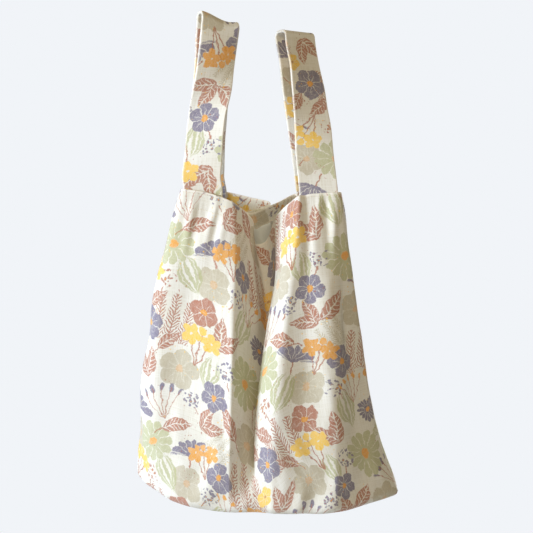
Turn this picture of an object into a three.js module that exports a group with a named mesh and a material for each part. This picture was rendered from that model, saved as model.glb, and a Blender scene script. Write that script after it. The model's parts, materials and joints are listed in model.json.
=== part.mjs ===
// An unlined canvas lunch bag with two wide handle loops, as it hangs from a bar by its handles.
// Millimetres, +Z up, +X to the bag's right seen from the front, -Y towards the viewer.
// Heights are measured from the mouth here, and the whole bag is moved at the end, so that the
// origin is the middle of the bar's top face, between the two places where the handles lie on it.
import * as THREE from 'three';

const { lerp, degToRad } = THREE.MathUtils;

// Cloth, hems and seams
const clothThickness = 0.9;
const hemWidth = 16;
const hemThickness = 2 * clothThickness;
const hemStep = 0.8;
const seamGap = 0.3;

// The mouth, as its edge hangs
const mouthWidth = 152;
const mouthDepth = 92;
const mouthCornerRadius = 2.4;

// The body and its base
const bodyHeight = 310;
const baseWidth = 252;
const baseDepth = 66;
const baseCornerRadius = 20;
const baseCornerFlare = 12;
const flarePower = 7;
const frontEdgeRadius = 12;
const sideEdgeRadius = 4;
const baseFlatWidth = 64;
const baseLeftLift = 20;
const baseRightLift = 5;
const baseSeamShare = 0.9;
const baseTwist = degToRad(4);
const leftSwell = 12;

// The handles, and where they lie on the bar
const strapWidth = 37;
const strapThickness = 2.8;
const strapEdgeRadius = 0.8;
const strapRise = 160;
const strapTuck = 14;
const strapSideGap = 0.8;
const barWidth = 14;
const barBend = 4;
const leftTop = { x: -41, y: -27, yaw: degToRad(21) };
const rightTop = { x: 37, y: 27, yaw: degToRad(30) };

// The label
const labelWidth = 24;
const labelLength = 32;
const labelThickness = 0.6;
const labelOverhang = 3;

// Where the handles' roots are, and the free half width between them
const strapRootX = mouthWidth / 2 - hemThickness - strapSideGap - strapWidth / 2;
const strapRootY = mouthDepth / 2 - hemThickness - seamGap - strapThickness;
const freeHalf = strapRootX - strapWidth / 2;

// The folds in the front and the back, with one value for each level from the mouth to the base. A
// name ending in X is a place across the bag, as a share of the free half width between the handles.
// A name ending in In is how far the cloth lies behind the face, as a share of the panel's depth.
// The droop is how far the mouth edge hangs below the handles' roots at each point of the outline, and
// the turn is half the width of the rounded end of each fold. The hollow, in millimetres, is how far the
// cloth sinks between the fold that stands forward and the panel's right corner.
const levels = [0, 0.15, 0.4, 0.75, 1];
const foldPoints = ['shoulder', 'wall', 'floor', 'nose', 'crest'];
const pointsBeforeFolds = 4;

// How wide each fold's rounded end is, and the right corner's, as a share of the panel's turn
const foldTurns = [0.45, 1, 1, 1, 1];
const cornerTurn = 1.3;
const frontFold = {
  turn: [4.5, 4.5, 4.5, 3, 1],
  belly: [1, 6, 14, 22, 24],
  leftBelly: [0.7, 0.5, 0.15, 0.3, 0.7],
  rightBelly: [0.7, 0.8, 0.95, 0.95, 0.95],
  rightShare: [0.66, 0.68, 0.73, 0.65, 0.56],
  rightRoll: [0, 3, 6.5, 8, 14],
  hollow: [0, 0.5, 1.5, 2, 1.5],
  shoulderX: [-0.69, -0.64, -0.69, -0.73, -0.77],
  shoulderIn: [0.02, 0, -0.08, -0.1, 0],
  wallX: [-0.25, -0.27, -0.19, -0.34, -0.5],
  wallIn: [0.55, 0.5, 0.44, 0.24, 0],
  floorX: [-0.04, 0.2, 0.36, 0.12, -0.33],
  floorIn: [0.95, 0.87, 0.69, 0.38, 0],
  noseX: [0.45, 0.44, 0.17, -0.08, 0],
  noseIn: [0.53, 0.32, 0.24, 0.2, 0.03],
  crestX: [0.91, 0.83, 0.6, 0.42, 0.42],
  crestIn: [0, -0.06, -0.13, -0.14, -0.05],
  droop: [-4, -4, -4, -0.5, 9, 25, 50, 20, 4, 2, 0.5, -1, -1, -1],
};
const backFold = {
  turn: [3, 3, 3, 2.5, 1],
  belly: [0, 4, 12, 20, 22],
  leftBelly: [0.7, 0.7, 0.7, 0.7, 0.7],
  rightBelly: [0.7, 0.7, 0.7, 0.7, 0.7],
  rightShare: [0.66, 0.66, 0.66, 0.66, 0.66],
  rightRoll: [0, 0, 0, 0, 0],
  hollow: [0, 0, 0, 0, 0],
  shoulderX: [-0.35, -0.56, -0.78, -1, -1.12],
  shoulderIn: [0.03, 0.08, 0.11, 0.09, 0],
  wallX: [0.24, 0.06, -0.22, -0.55, -0.74],
  wallIn: [0.33, 0.27, 0.23, 0.18, 0],
  floorX: [-0.33, -0.22, -0.17, -0.11, -0.33],
  floorIn: [0.78, 0.62, 0.45, 0.25, 0],
  noseX: [0.38, 0.38, 0.38, 0.28, 0],
  noseIn: [0.41, 0.4, 0.28, 0.14, 0],
  crestX: [0.88, 0.92, 0.92, 0.78, 0.36],
  crestIn: [0.02, 0, 0, 0, 0],
  droop: [-4, -3.5, -3.5, -3, 5, 11, 20, 11, 2.5, 1, 0, -1, -1, -1],
};

// How finely the solids are cut
const columnsBySpan = [2, 2, 1, 2, 1, 3, 2, 3, 2, 3, 2, 3, 1, 1, 2, 1, 1, 2, 2];
const wallLevels = [0.13, 0.21, 0.3, 0.4, 0.5, 0.61, 0.72, 0.83, 0.93, 1];
const edgeSteps = 2;
const baseSteps = 2;
const legSteps = 8;
const bendSteps = 4;

const canvas = new THREE.MeshStandardMaterial({ color: 0xe9e1c8, roughness: 0.92, metalness: 0 });
const band = new THREE.MeshStandardMaterial({ color: 0xe3d8ba, roughness: 0.92, metalness: 0 });
const satin = new THREE.MeshStandardMaterial({ color: 0xdde3da, roughness: 0.45, metalness: 0 });

/** A value that changes smoothly down the bag, from a list with one value for each level. */
function atLevel(values, t) {
  let k = 0;
  while (k < levels.length - 2 && t > levels[k + 1]) k += 1;
  const slope = (i) => {
    const low = Math.max(i - 1, 0);
    const high = Math.min(i + 1, levels.length - 1);
    return (values[high] - values[low]) / (levels[high] - levels[low]);
  };
  const span = levels[k + 1] - levels[k];
  const f = (t - levels[k]) / span;
  const g = 1 - f;
  return (1 + 2 * f) * g * g * values[k] + f * g * g * span * slope(k)
    + f * f * (3 - 2 * f) * values[k + 1] - f * f * g * span * slope(k + 1);
}

/** The control points of one panel's outline at a level, from side seam to side seam, its face at -Y. */
function panelOutline(fold, t) {
  const half = lerp(mouthWidth, baseWidth, t) / 2;
  const left = half + leftSwell * Math.sin(Math.PI * t);
  const right = half + baseCornerFlare * t ** flarePower;
  const halfDepth = lerp(mouthDepth, baseDepth, t) / 2;
  const radius = lerp(mouthCornerRadius, baseCornerRadius, t);
  const belly = atLevel(fold.belly, t);
  const folded = foldPoints.map((name) => [
    atLevel(fold[`${name}X`], t) * freeHalf,
    -(halfDepth + belly) * (1 - atLevel(fold[`${name}In`], t)),
  ]);
  const crest = folded.at(-1);
  const corner = [right * atLevel(fold.rightShare, t), -halfDepth - belly * atLevel(fold.rightBelly, t)];
  return [
    [-left, 0],
    [-left, -halfDepth + radius],
    [-left + radius, -halfDepth - belly * 0.15],
    [-left * 0.66, -halfDepth - belly * atLevel(fold.leftBelly, t)],
    ...folded,
    [lerp(crest[0], corner[0], 0.5), lerp(crest[1], corner[1], 0.5) + atLevel(fold.hollow, t)],
    corner,
    [right - radius - atLevel(fold.rightRoll, t), -halfDepth - belly * 0.15],
    [right, -halfDepth + radius],
    [right, 0],
  ].map(([x, y], i) => new THREE.Vector3(x, y, -fold.droop[i] * (1 - t)));
}

/** The outline with each fold and the right corner drawn out into a turn, so that none is sharper. */
function roundedOutline(fold, t) {
  const points = panelOutline(fold, t);
  const turn = atLevel(fold.turn, t);
  const turns = [...Array(pointsBeforeFolds).fill(0), ...foldTurns, 0, cornerTurn, 0, 0, 0];
  return points.flatMap((p, i) => {
    if (turns[i] === 0) return [p];
    const along = points[i + 1].clone().sub(points[i - 1]).setLength(turn * turns[i]);
    return [p.clone().sub(along), p.clone().add(along)];
  });
}

/** Points along a smooth curve through an outline, with a set number of steps in each span. */
function smoothOutline(fold, t) {
  const points = roundedOutline(fold, t);
  const curve = new THREE.CatmullRomCurve3(points, false, 'centripetal');
  const spans = points.length - 1;
  const inSpan = (steps, span) => Array.from(
    { length: steps },
    (_, k) => curve.getPoint((span + k / steps) / spans),
  );
  return [...columnsBySpan.flatMap(inSpan), points.at(-1).clone()];
}

/** The direction out of the cloth at each point of an outline. Its ends lie in the seam's plane. */
function outlineNormals(outline) {
  return outline.map((_, i) => {
    const before = outline[Math.max(i - 1, 0)];
    const after = outline[Math.min(i + 1, outline.length - 1)];
    const normal = new THREE.Vector3(after.y - before.y, before.x - after.x, 0);
    if (i === 0 || i === outline.length - 1) normal.y = 0;
    return normal.normalize();
  });
}

/** How far the rim of the base is lifted above its flat middle, by its place across the bag. */
function rimLift(x) {
  const flat = baseFlatWidth / 2;
  const beyond = Math.max(Math.abs(x) - flat, 0) / (baseWidth / 2 - flat);
  return (x < 0 ? baseLeftLift : baseRightLift) * beyond ** 2;
}

/** Rows of points down the wall of a panel, from its mouth edge to where the wall turns under. */
function wallRows(fold, turns) {
  const hem = hemWidth / bodyHeight;
  const step = hemStep / bodyHeight;
  return [0, hem, hem + step, ...wallLevels].map((t) => {
    const outline = smoothOutline(fold, t);
    const normals = outlineNormals(outline);
    const thickness = t <= hem ? hemThickness : clothThickness;
    return outline.map((p, i) => ({ at: p.setZ(p.z + turns[i] * t), out: normals[i], thickness, t }));
  });
}

/** Rows of points and outward directions for a panel, from its mouth edge to the seam of the base. */
function panelRows(fold) {
  const rim = smoothOutline(fold, 1);
  const normals = outlineNormals(rim);
  const radii = normals.map((n) => lerp(sideEdgeRadius, frontEdgeRadius, Math.abs(n.y)));
  const turns = rim.map((p, i) => -bodyHeight + rimLift(p.x) + radii[i]);
  const rows = wallRows(fold, turns);
  const under = { thickness: clothThickness, t: 1 };
  for (let k = 1; k <= edgeSteps; k += 1) {
    const turn = (k / edgeSteps) * (Math.PI / 2);
    rows.push(rim.map((p, i) => {
      const out = normals[i].clone().multiplyScalar(Math.cos(turn)).setZ(-Math.sin(turn));
      const centre = p.clone().addScaledVector(normals[i], -radii[i]).setZ(turns[i]);
      return { at: centre.addScaledVector(out, radii[i]), out, ...under };
    }));
  }
  const inset = rows.at(-1);
  for (let k = 1; k <= baseSteps; k += 1) {
    const f = k / baseSteps;
    rows.push(inset.map(({ at }) => {
      const z = lerp(at.z, -bodyHeight + rimLift(at.x * baseSeamShare), f);
      const place = new THREE.Vector3(at.x * lerp(1, baseSeamShare, f), at.y * (1 - f), z);
      return { at: place, out: new THREE.Vector3(0, 0, -1), ...under };
    }));
  }
  return rows;
}

/** Turns a panel's point to its side of the bag, -1 the front and 1 the back, and twists it. */
function hang(point, t, side) {
  const y = -side * point.y + side * (seamGap / 2);
  const angle = -baseTwist * t;
  return new THREE.Vector3(
    point.x * Math.cos(angle) - y * Math.sin(angle),
    point.x * Math.sin(angle) + y * Math.cos(angle),
    point.z,
  );
}

/** A closed mesh from its corners and the corner numbers of its faces. */
function closedMesh(points, index) {
  const geometry = new THREE.BufferGeometry();
  const positions = points.flatMap((p) => [p.x, p.y, p.z]);
  geometry.setAttribute('position', new THREE.Float32BufferAttribute(positions, 3));
  geometry.setIndex(index);
  geometry.computeVertexNormals();
  return geometry;
}

/** One closed body between an outer and an inner grid of points, with a strip round their edge. */
function thickSheet(outer, inner, flip) {
  const rows = outer.length;
  const columns = outer[0].length;
  const index = [];
  const front = (r, c) => r * columns + c;
  const back = (r, c) => rows * columns + front(r, c);
  const quad = (a, b, c, d) => index.push(...(flip ? [a, c, b, a, d, c] : [a, b, c, a, c, d]));
  for (let r = 0; r < rows - 1; r += 1) {
    for (let c = 0; c < columns - 1; c += 1) {
      quad(front(r, c), front(r + 1, c), front(r + 1, c + 1), front(r, c + 1));
      quad(back(r, c), back(r, c + 1), back(r + 1, c + 1), back(r + 1, c));
    }
    quad(front(r, 0), back(r, 0), back(r + 1, 0), front(r + 1, 0));
    quad(front(r, columns - 1), front(r + 1, columns - 1), back(r + 1, columns - 1), back(r, columns - 1));
  }
  for (let c = 0; c < columns - 1; c += 1) {
    quad(front(0, c), front(0, c + 1), back(0, c + 1), back(0, c));
    quad(front(rows - 1, c), back(rows - 1, c), back(rows - 1, c + 1), front(rows - 1, c + 1));
  }
  return closedMesh([...outer.flat(), ...inner.flat()], index);
}

/** A panel of the body: its wall with the turned hem, its half of each side and of the base. */
function panel(fold, side) {
  const rows = panelRows(fold);
  const inside = ({ at, out, thickness }) => at.clone().addScaledVector(out, -thickness);
  const outer = rows.map((row) => row.map((cell) => hang(cell.at, cell.t, side)));
  const inner = rows.map((row) => row.map((cell) => hang(inside(cell), cell.t, side)));
  return thickSheet(outer, inner, side > 0);
}

/** The places along a handle: a point of its inner face, the way across it, and the way out of it. */
function strapStations(top, rootX) {
  const rootWay = new THREE.Vector3(1, 0, 0);
  const topWay = new THREE.Vector3(Math.cos(top.yaw), Math.sin(top.yaw), 0);
  const over = new THREE.Vector3(-Math.sin(top.yaw), Math.cos(top.yaw), 0);
  const wallLean = ((mouthDepth - baseDepth) / 2) * (strapTuck / bodyHeight);
  const bendCentre = (side) => new THREE.Vector3(top.x, top.y, strapRise - barBend)
    .addScaledVector(over, side * (barWidth / 2 - barBend));
  const leg = (side) => {
    const root = new THREE.Vector3(rootX, side * strapRootY, 0);
    const rootOut = new THREE.Vector3(0, side, 0);
    const tuck = root.clone().addScaledVector(rootOut, -wallLean).setZ(-strapTuck);
    const topOut = over.clone().multiplyScalar(side);
    const end = bendCentre(side).addScaledVector(topOut, barBend);
    const places = Array.from({ length: legSteps + 1 }, (_, k) => {
      const f = k / legSteps;
      return {
        at: root.clone().lerp(end, f),
        way: rootWay.clone().lerp(topWay, f).normalize(),
        out: rootOut.clone().lerp(topOut, f).normalize(),
      };
    });
    return [{ at: tuck, way: rootWay, out: rootOut }, ...places];
  };
  const bend = (side) => Array.from({ length: bendSteps }, (_, k) => {
    const turn = ((k + 1) / bendSteps) * (Math.PI / 2);
    const out = over.clone().multiplyScalar(side * Math.cos(turn)).setZ(Math.sin(turn));
    return { at: bendCentre(side).addScaledVector(out, barBend), way: topWay, out };
  });
  return [...leg(-1), ...bend(-1), ...bend(1).reverse(), ...leg(1).reverse()];
}

/** A handle: a flat band with eased edges, swept from the front root over the bar to the back root. */
function strap(top, rootX) {
  const half = strapWidth / 2;
  const eased = half - strapEdgeRadius;
  const section = [
    [-eased, 0], [eased, 0], [half, strapEdgeRadius], [half, strapThickness - strapEdgeRadius],
    [eased, strapThickness], [-eased, strapThickness],
    [-half, strapThickness - strapEdgeRadius], [-half, strapEdgeRadius],
  ];
  const stations = strapStations(top, rootX);
  const points = stations.flatMap(({ at, way, out }) => section
    .map(([across, up]) => at.clone().addScaledVector(way, across).addScaledVector(out, up)));
  const corners = section.length;
  const index = [];
  for (let r = 0; r < stations.length - 1; r += 1) {
    for (let k = 0; k < corners; k += 1) {
      const a = r * corners + k;
      const b = r * corners + ((k + 1) % corners);
      index.push(a, b + corners, b, a, a + corners, b + corners);
    }
  }
  const last = (stations.length - 1) * corners;
  for (let k = 1; k < corners - 1; k += 1) {
    index.push(0, k, k + 1, last, last + k + 1, last + k);
  }
  return closedMesh(points, index);
}

/** The label: a flat tag that hangs from under the back's hem, along the fold that stands forward. */
function label() {
  const level = (hemWidth + hemStep) / bodyHeight;
  const outline = panelOutline(backFold, level).map((p) => hang(p.setZ(p.z - hemWidth - hemStep), level, 1));
  const start = outline[pointsBeforeFolds + foldPoints.indexOf('floor')];
  const end = outline[pointsBeforeFolds + foldPoints.indexOf('nose')];
  const along = end.clone().sub(start).normalize();
  const down = new THREE.Vector3(0, 0, -1).projectOnPlane(along).normalize();
  const out = down.clone().cross(along);
  const corner = start.clone().addScaledVector(along, -labelOverhang)
    .addScaledVector(out, backFold.turn[0] + clothThickness + seamGap);
  const grid = (lift) => [0, labelLength].map((drop) => [0, labelWidth].map((across) => corner.clone()
    .addScaledVector(along, across).addScaledVector(down, drop).addScaledVector(out, lift)));
  return thickSheet(grid(labelThickness), grid(0), false);
}

const bag = new THREE.Group();
bag.position.set(-(leftTop.x + rightTop.x) / 2, -(leftTop.y + rightTop.y) / 2, -strapRise);

function add(name, geometry, material) {
  const mesh = new THREE.Mesh(geometry, material);
  mesh.name = name;
  bag.add(mesh);
}

add('front_panel', panel(frontFold, -1), canvas);
add('back_panel', panel(backFold, 1), canvas);
add('strap_left', strap(leftTop, -strapRootX), band);
add('strap_right', strap(rightTop, strapRootX), band);
add('label', label(), satin);

export default bag;
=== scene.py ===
"""Dresses the canvas lunch bag: its printed cloth, sewing, handles and label, and a plain studio."""

import json
import logging
import math
from collections.abc import Callable
from dataclasses import dataclass, field, replace
from enum import Enum

import bpy
import numpy as np
from mathutils import Matrix, Vector


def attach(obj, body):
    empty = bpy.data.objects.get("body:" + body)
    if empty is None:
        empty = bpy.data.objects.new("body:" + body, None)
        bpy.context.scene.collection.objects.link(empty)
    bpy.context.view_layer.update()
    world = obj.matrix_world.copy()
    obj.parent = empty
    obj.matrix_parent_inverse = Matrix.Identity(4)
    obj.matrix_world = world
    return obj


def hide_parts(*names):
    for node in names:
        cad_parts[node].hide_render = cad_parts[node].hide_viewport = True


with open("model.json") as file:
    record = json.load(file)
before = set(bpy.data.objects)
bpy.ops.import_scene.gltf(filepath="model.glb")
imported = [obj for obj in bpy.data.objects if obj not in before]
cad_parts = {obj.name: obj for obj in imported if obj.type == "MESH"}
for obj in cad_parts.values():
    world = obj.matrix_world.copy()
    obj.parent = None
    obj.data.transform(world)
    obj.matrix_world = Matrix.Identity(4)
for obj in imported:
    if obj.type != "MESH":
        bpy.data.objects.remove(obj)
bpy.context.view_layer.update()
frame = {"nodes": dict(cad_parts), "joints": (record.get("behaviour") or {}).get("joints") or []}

log = logging.getLogger("lunch_bag")

MM = 0.001

# The rest pose, shared with the solids: sizes in millimetres, heights from the mouth
MOUTH_WIDTH = 152.0
MOUTH_DEPTH = 92.0
MOUTH_CORNER_RADIUS = 2.4
BODY_HEIGHT = 310.0
CLOTH = 0.9
HEM_WIDTH = 16.0
HEM_STEP = 0.8
HEM_THICKNESS = 2 * CLOTH
HEM_MARGIN = 0.01
SEAM_GAP = 0.3
STRAP_WIDTH = 37.0
STRAP_THICKNESS = 2.8
STRAP_RISE = 160.0
STRAP_SIDE_GAP = 0.8
MOUTH_SHIFT = 2.0
STRAP_ROOT_X = MOUTH_WIDTH / 2 - HEM_THICKNESS - STRAP_SIDE_GAP - STRAP_WIDTH / 2
STRAP_ROOT_Y = MOUTH_DEPTH / 2 - HEM_THICKNESS - SEAM_GAP - STRAP_THICKNESS
FREE_HALF = STRAP_ROOT_X - STRAP_WIDTH / 2

Array = np.ndarray
Face = tuple[int, ...]


class Side(Enum):
    """Which half of the bag a panel is. The value is the sign of its outward Y."""

    FRONT = -1
    BACK = 1


def lerp(a: float | Array, b: float | Array, f: float | Array) -> float | Array:
    """Returns the value at the share f of the way from a to b."""
    return a + (b - a) * f


def smooth(low: float, high: float, x: Array) -> Array:
    """Returns 0 below low and 1 above high, with a smooth step between."""
    f = np.clip((x - low) / (high - low), 0.0, 1.0)
    return f * f * (3 - 2 * f)


def plateau(x: Array, rise: tuple[float, float], fall: tuple[float, float]) -> Array:
    """Returns 1 between the two ranges, and 0 before the rise and after the fall."""
    return smooth(*rise, x) * (1 - smooth(*fall, x))


def bell(away: Array, width: float) -> Array:
    """Returns 1 in the middle, falling off smoothly with the distance from it."""
    return np.exp(-((away / width) ** 2))


def unit(vectors: Array) -> Array:
    """Returns the vectors along the last axis at length 1."""
    return vectors / np.maximum(np.linalg.norm(vectors, axis=-1, keepdims=True), 1e-9)


def waves(seed: int, count: int, length: float, along: float) -> Callable[[Array, Array], Array]:
    """Makes a smooth, repeatable ripple over the cloth.

    Args:
        seed: Picks the ripple.
        count: How many plane waves it adds up.
        length: Their usual wavelength, in millimetres.
        along: Their direction, in radians, 0 for waves that follow each other across the cloth.

    Returns:
        A function of the cloth's u and v, in millimetres, from about -1 to 1.
    """
    rng = np.random.default_rng(seed)
    turns = along + rng.normal(0.0, 0.35, count)
    sizes = length * rng.uniform(0.6, 1.6, count)
    phases = rng.uniform(0.0, 2 * math.pi, count)

    def ripple(u: Array, v: Array) -> Array:
        """Adds the waves up at each place."""
        total = np.zeros(np.broadcast(u, v).shape)
        for turn, size, phase in zip(turns, sizes, phases):
            way = u * math.cos(turn) + v * math.sin(turn)
            total += np.sin(2 * math.pi * way / size + phase)
        return total / math.sqrt(count)

    return ripple


def catmull_rom(points: Array, steps: int) -> Array:
    """Draws centripetal Catmull-Rom curves.

    Args:
        points: The control points, one row for each curve.
        steps: How many points to make in each span.

    Returns:
        The curves' points, one row for each curve.
    """
    first = 2 * points[:, :1] - points[:, 1:2]
    last = 2 * points[:, -1:] - points[:, -2:-1]
    p = np.concatenate([first, points, last], axis=1)
    gaps = np.sqrt(np.linalg.norm(np.diff(p, axis=1), axis=-1, keepdims=True))
    d0, d1, d2 = gaps[:, :-2], gaps[:, 1:-1], gaps[:, 2:]
    p0, p1, p2, p3 = p[:, :-3], p[:, 1:-2], p[:, 2:-1], p[:, 3:]
    start = ((p1 - p0) / d0 - (p2 - p0) / (d0 + d1) + (p2 - p1) / d1) * d1
    end = ((p2 - p1) / d1 - (p3 - p1) / (d1 + d2) + (p3 - p2) / d2) * d1
    f = (np.arange(steps) / steps)[None, None, :, None]
    a, b, s, e = p1[:, :, None], p2[:, :, None], start[:, :, None], end[:, :, None]
    curve = a + s * f + (3 * (b - a) - 2 * s - e) * f**2 + (2 * (a - b) + s + e) * f**3
    return np.concatenate([curve.reshape(len(points), -1, 3), points[:, -1:]], axis=1)


def resample(rows: Array, count: int) -> Array:
    """Returns for each row the share of its curve at which equal lengths of cloth end."""
    lengths = np.linalg.norm(np.diff(rows, axis=1), axis=-1)
    shares = np.concatenate([np.zeros((len(rows), 1)), np.cumsum(lengths, axis=1)], axis=1)
    shares /= shares[:, -1:]
    wanted = np.linspace(0.0, 1.0, count)
    places = np.arange(rows.shape[1])
    return np.stack([np.interp(wanted, share, places) for share in shares])


def pick(rows: Array, places: Array) -> Array:
    """Reads each row at fractional places along it."""
    low = np.clip(np.floor(places).astype(int), 0, rows.shape[1] - 2)
    f = (places - low)[..., None]
    index = np.arange(len(rows))[:, None]
    return rows[index, low] * (1 - f) + rows[index, low + 1] * f


def blur(values: Array, times: int) -> Array:
    """Returns the grid with each point moved to the mean of its neighbours, several times over."""
    for _ in range(times):
        padded = np.pad(values, ((1, 1), (1, 1)) + ((0, 0),) * (values.ndim - 2), mode="edge")
        values = (padded[:-2, 1:-1] + padded[2:, 1:-1] + padded[1:-1, :-2] + padded[1:-1, 2:]) / 4
    return values


def soften(points: Array, reach: float) -> Array:
    """Rounds a curve off.

    Args:
        points: The curve's points.
        reach: How far along the curve the mean at each point goes, in millimetres.

    Returns:
        Each point at the mean of the curve within its reach. The ends stay.
    """
    steps = np.linalg.norm(np.diff(points, axis=0), axis=-1)
    run = np.concatenate([[0.0], np.cumsum(steps)])
    even = np.linspace(0.0, run[-1], 1001)
    values = np.stack([np.interp(even, run, column) for column in points.T], -1)
    half = max(round(reach / even[1]), 1)
    window = np.hanning(2 * half + 3)[1:-1]
    window /= window.sum()
    before = 2 * values[:1] - values[half:0:-1]
    after = 2 * values[-1:] - values[-2:-half - 2:-1]
    padded = np.concatenate([before, values, after])
    mean = np.stack([np.convolve(column, window, "valid") for column in padded.T], -1)
    return np.stack([np.interp(run, even, column) for column in mean.T], -1)


def neighbours(count: int, meet: bool) -> list[tuple[int, int]]:
    """Returns each number below the count with the next one, and the last with the first if they meet."""
    pairs = [(i, i + 1) for i in range(count - 1)]
    return [*pairs, (count - 1, 0)] if meet else pairs


def grid_faces(rows: int, columns: int, rows_meet: bool = False, columns_meet: bool = False) -> list[Face]:
    """Joins a grid of points with four-sided faces.

    Args:
        rows: How many rows the grid has.
        columns: How many points each row has.
        rows_meet: Whether the last row joins the first.
        columns_meet: Whether each row is a ring.

    Returns:
        The corner numbers of each face.
    """
    across = neighbours(columns, columns_meet)
    return [(r * columns + c, below * columns + c, below * columns + beside, r * columns + beside)
            for r, below in neighbours(rows, rows_meet) for c, beside in across]


def add_object(name: str, data: bpy.types.ID) -> bpy.types.Object:
    """Makes an object of a mesh, lamp or camera and puts it in the scene."""
    obj = bpy.data.objects.new(name, data)
    bpy.context.scene.collection.objects.link(obj)
    return obj


def make_mesh(name: str, points: Array, faces: list[Face], uv: Array | None = None,
              values: dict[str, Array] | None = None, material: bpy.types.Material | None = None
              ) -> bpy.types.Object:
    """Makes a smooth-shaded mesh object.

    Args:
        name: The piece's name.
        points: The corners, in metres, in the shared frame.
        faces: The corner numbers of each face.
        uv: The print's coordinates at each corner, in metres of cloth.
        values: Further numbers at each corner, by attribute name.
        material: The finish.

    Returns:
        The object, at the origin.
    """
    mesh = bpy.data.meshes.new(name)
    mesh.from_pydata([tuple(p) for p in points], [], [tuple(int(i) for i in f) for f in faces])
    mesh.polygons.foreach_set("use_smooth", [True] * len(mesh.polygons))
    if uv is not None:
        layer = mesh.uv_layers.new(name="cloth")
        corners = np.zeros(len(mesh.loops), np.int32)
        mesh.loops.foreach_get("vertex_index", corners)
        layer.data.foreach_set("uv", uv[corners].astype(np.float32).ravel())
    for key, numbers in (values or {}).items():
        attribute = mesh.attributes.new(key, "FLOAT", "POINT")
        attribute.data.foreach_set("value", numbers.astype(np.float32))
    if material is not None:
        mesh.materials.append(material)
    mesh.validate()
    return add_object(name, mesh)


def adds(operation: str) -> Callable[..., "Sock"]:
    """Makes a method that adds a Math node of that operation, with its own value as the first input."""
    def method(self: "Sock", *others: "Sock | float") -> "Sock":
        """Adds the node."""
        return self.nodes.math(operation, self, *others)

    return method


class Sock:
    """A shader value in the making. Python's operators add its Math nodes."""

    def __init__(self, nodes: "Nodes", socket: bpy.types.NodeSocket) -> None:
        """Keeps the tree's helper and the socket."""
        self.nodes = nodes
        self.socket = socket

    __add__ = __radd__ = adds("ADD")
    __mul__ = __rmul__ = adds("MULTIPLY")
    __sub__ = adds("SUBTRACT")
    __truediv__ = adds("DIVIDE")
    __pow__ = adds("POWER")
    __abs__ = adds("ABSOLUTE")
    sin = adds("SINE")
    cos = adds("COSINE")
    sqrt = adds("SQRT")
    round = adds("ROUND")
    max = adds("MAXIMUM")
    min = adds("MINIMUM")
    angle_to = adds("ARCTAN2")
    ping_pong = adds("PINGPONG")

    def __rsub__(self, other: float) -> "Sock":
        """Subtracts from a number."""
        return self.nodes.math("SUBTRACT", other, self)

    def __rtruediv__(self, other: float) -> "Sock":
        """Divides a number by this."""
        return self.nodes.math("DIVIDE", other, self)

    def wrap(self, size: float) -> "Sock":
        """Wraps to the range from minus half the size to half the size."""
        return self.nodes.math("WRAP", self, size / 2, -size / 2)

    def edge(self, sharpness: "Sock | float") -> "Sock":
        """Turns a signed depth into a mask, 1 inside and 0 outside."""
        return self.nodes.math("MULTIPLY_ADD", self, sharpness, 0.5, clamp=True)

    def within(self, low: float, high: float) -> "Sock":
        """Gives 0 at low and 1 at high, smooth between."""
        settings = {"interpolation_type": "SMOOTHSTEP"}
        return self.nodes.node("ShaderNodeMapRange", settings, Value=self, From_Min=low, From_Max=high)


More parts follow.
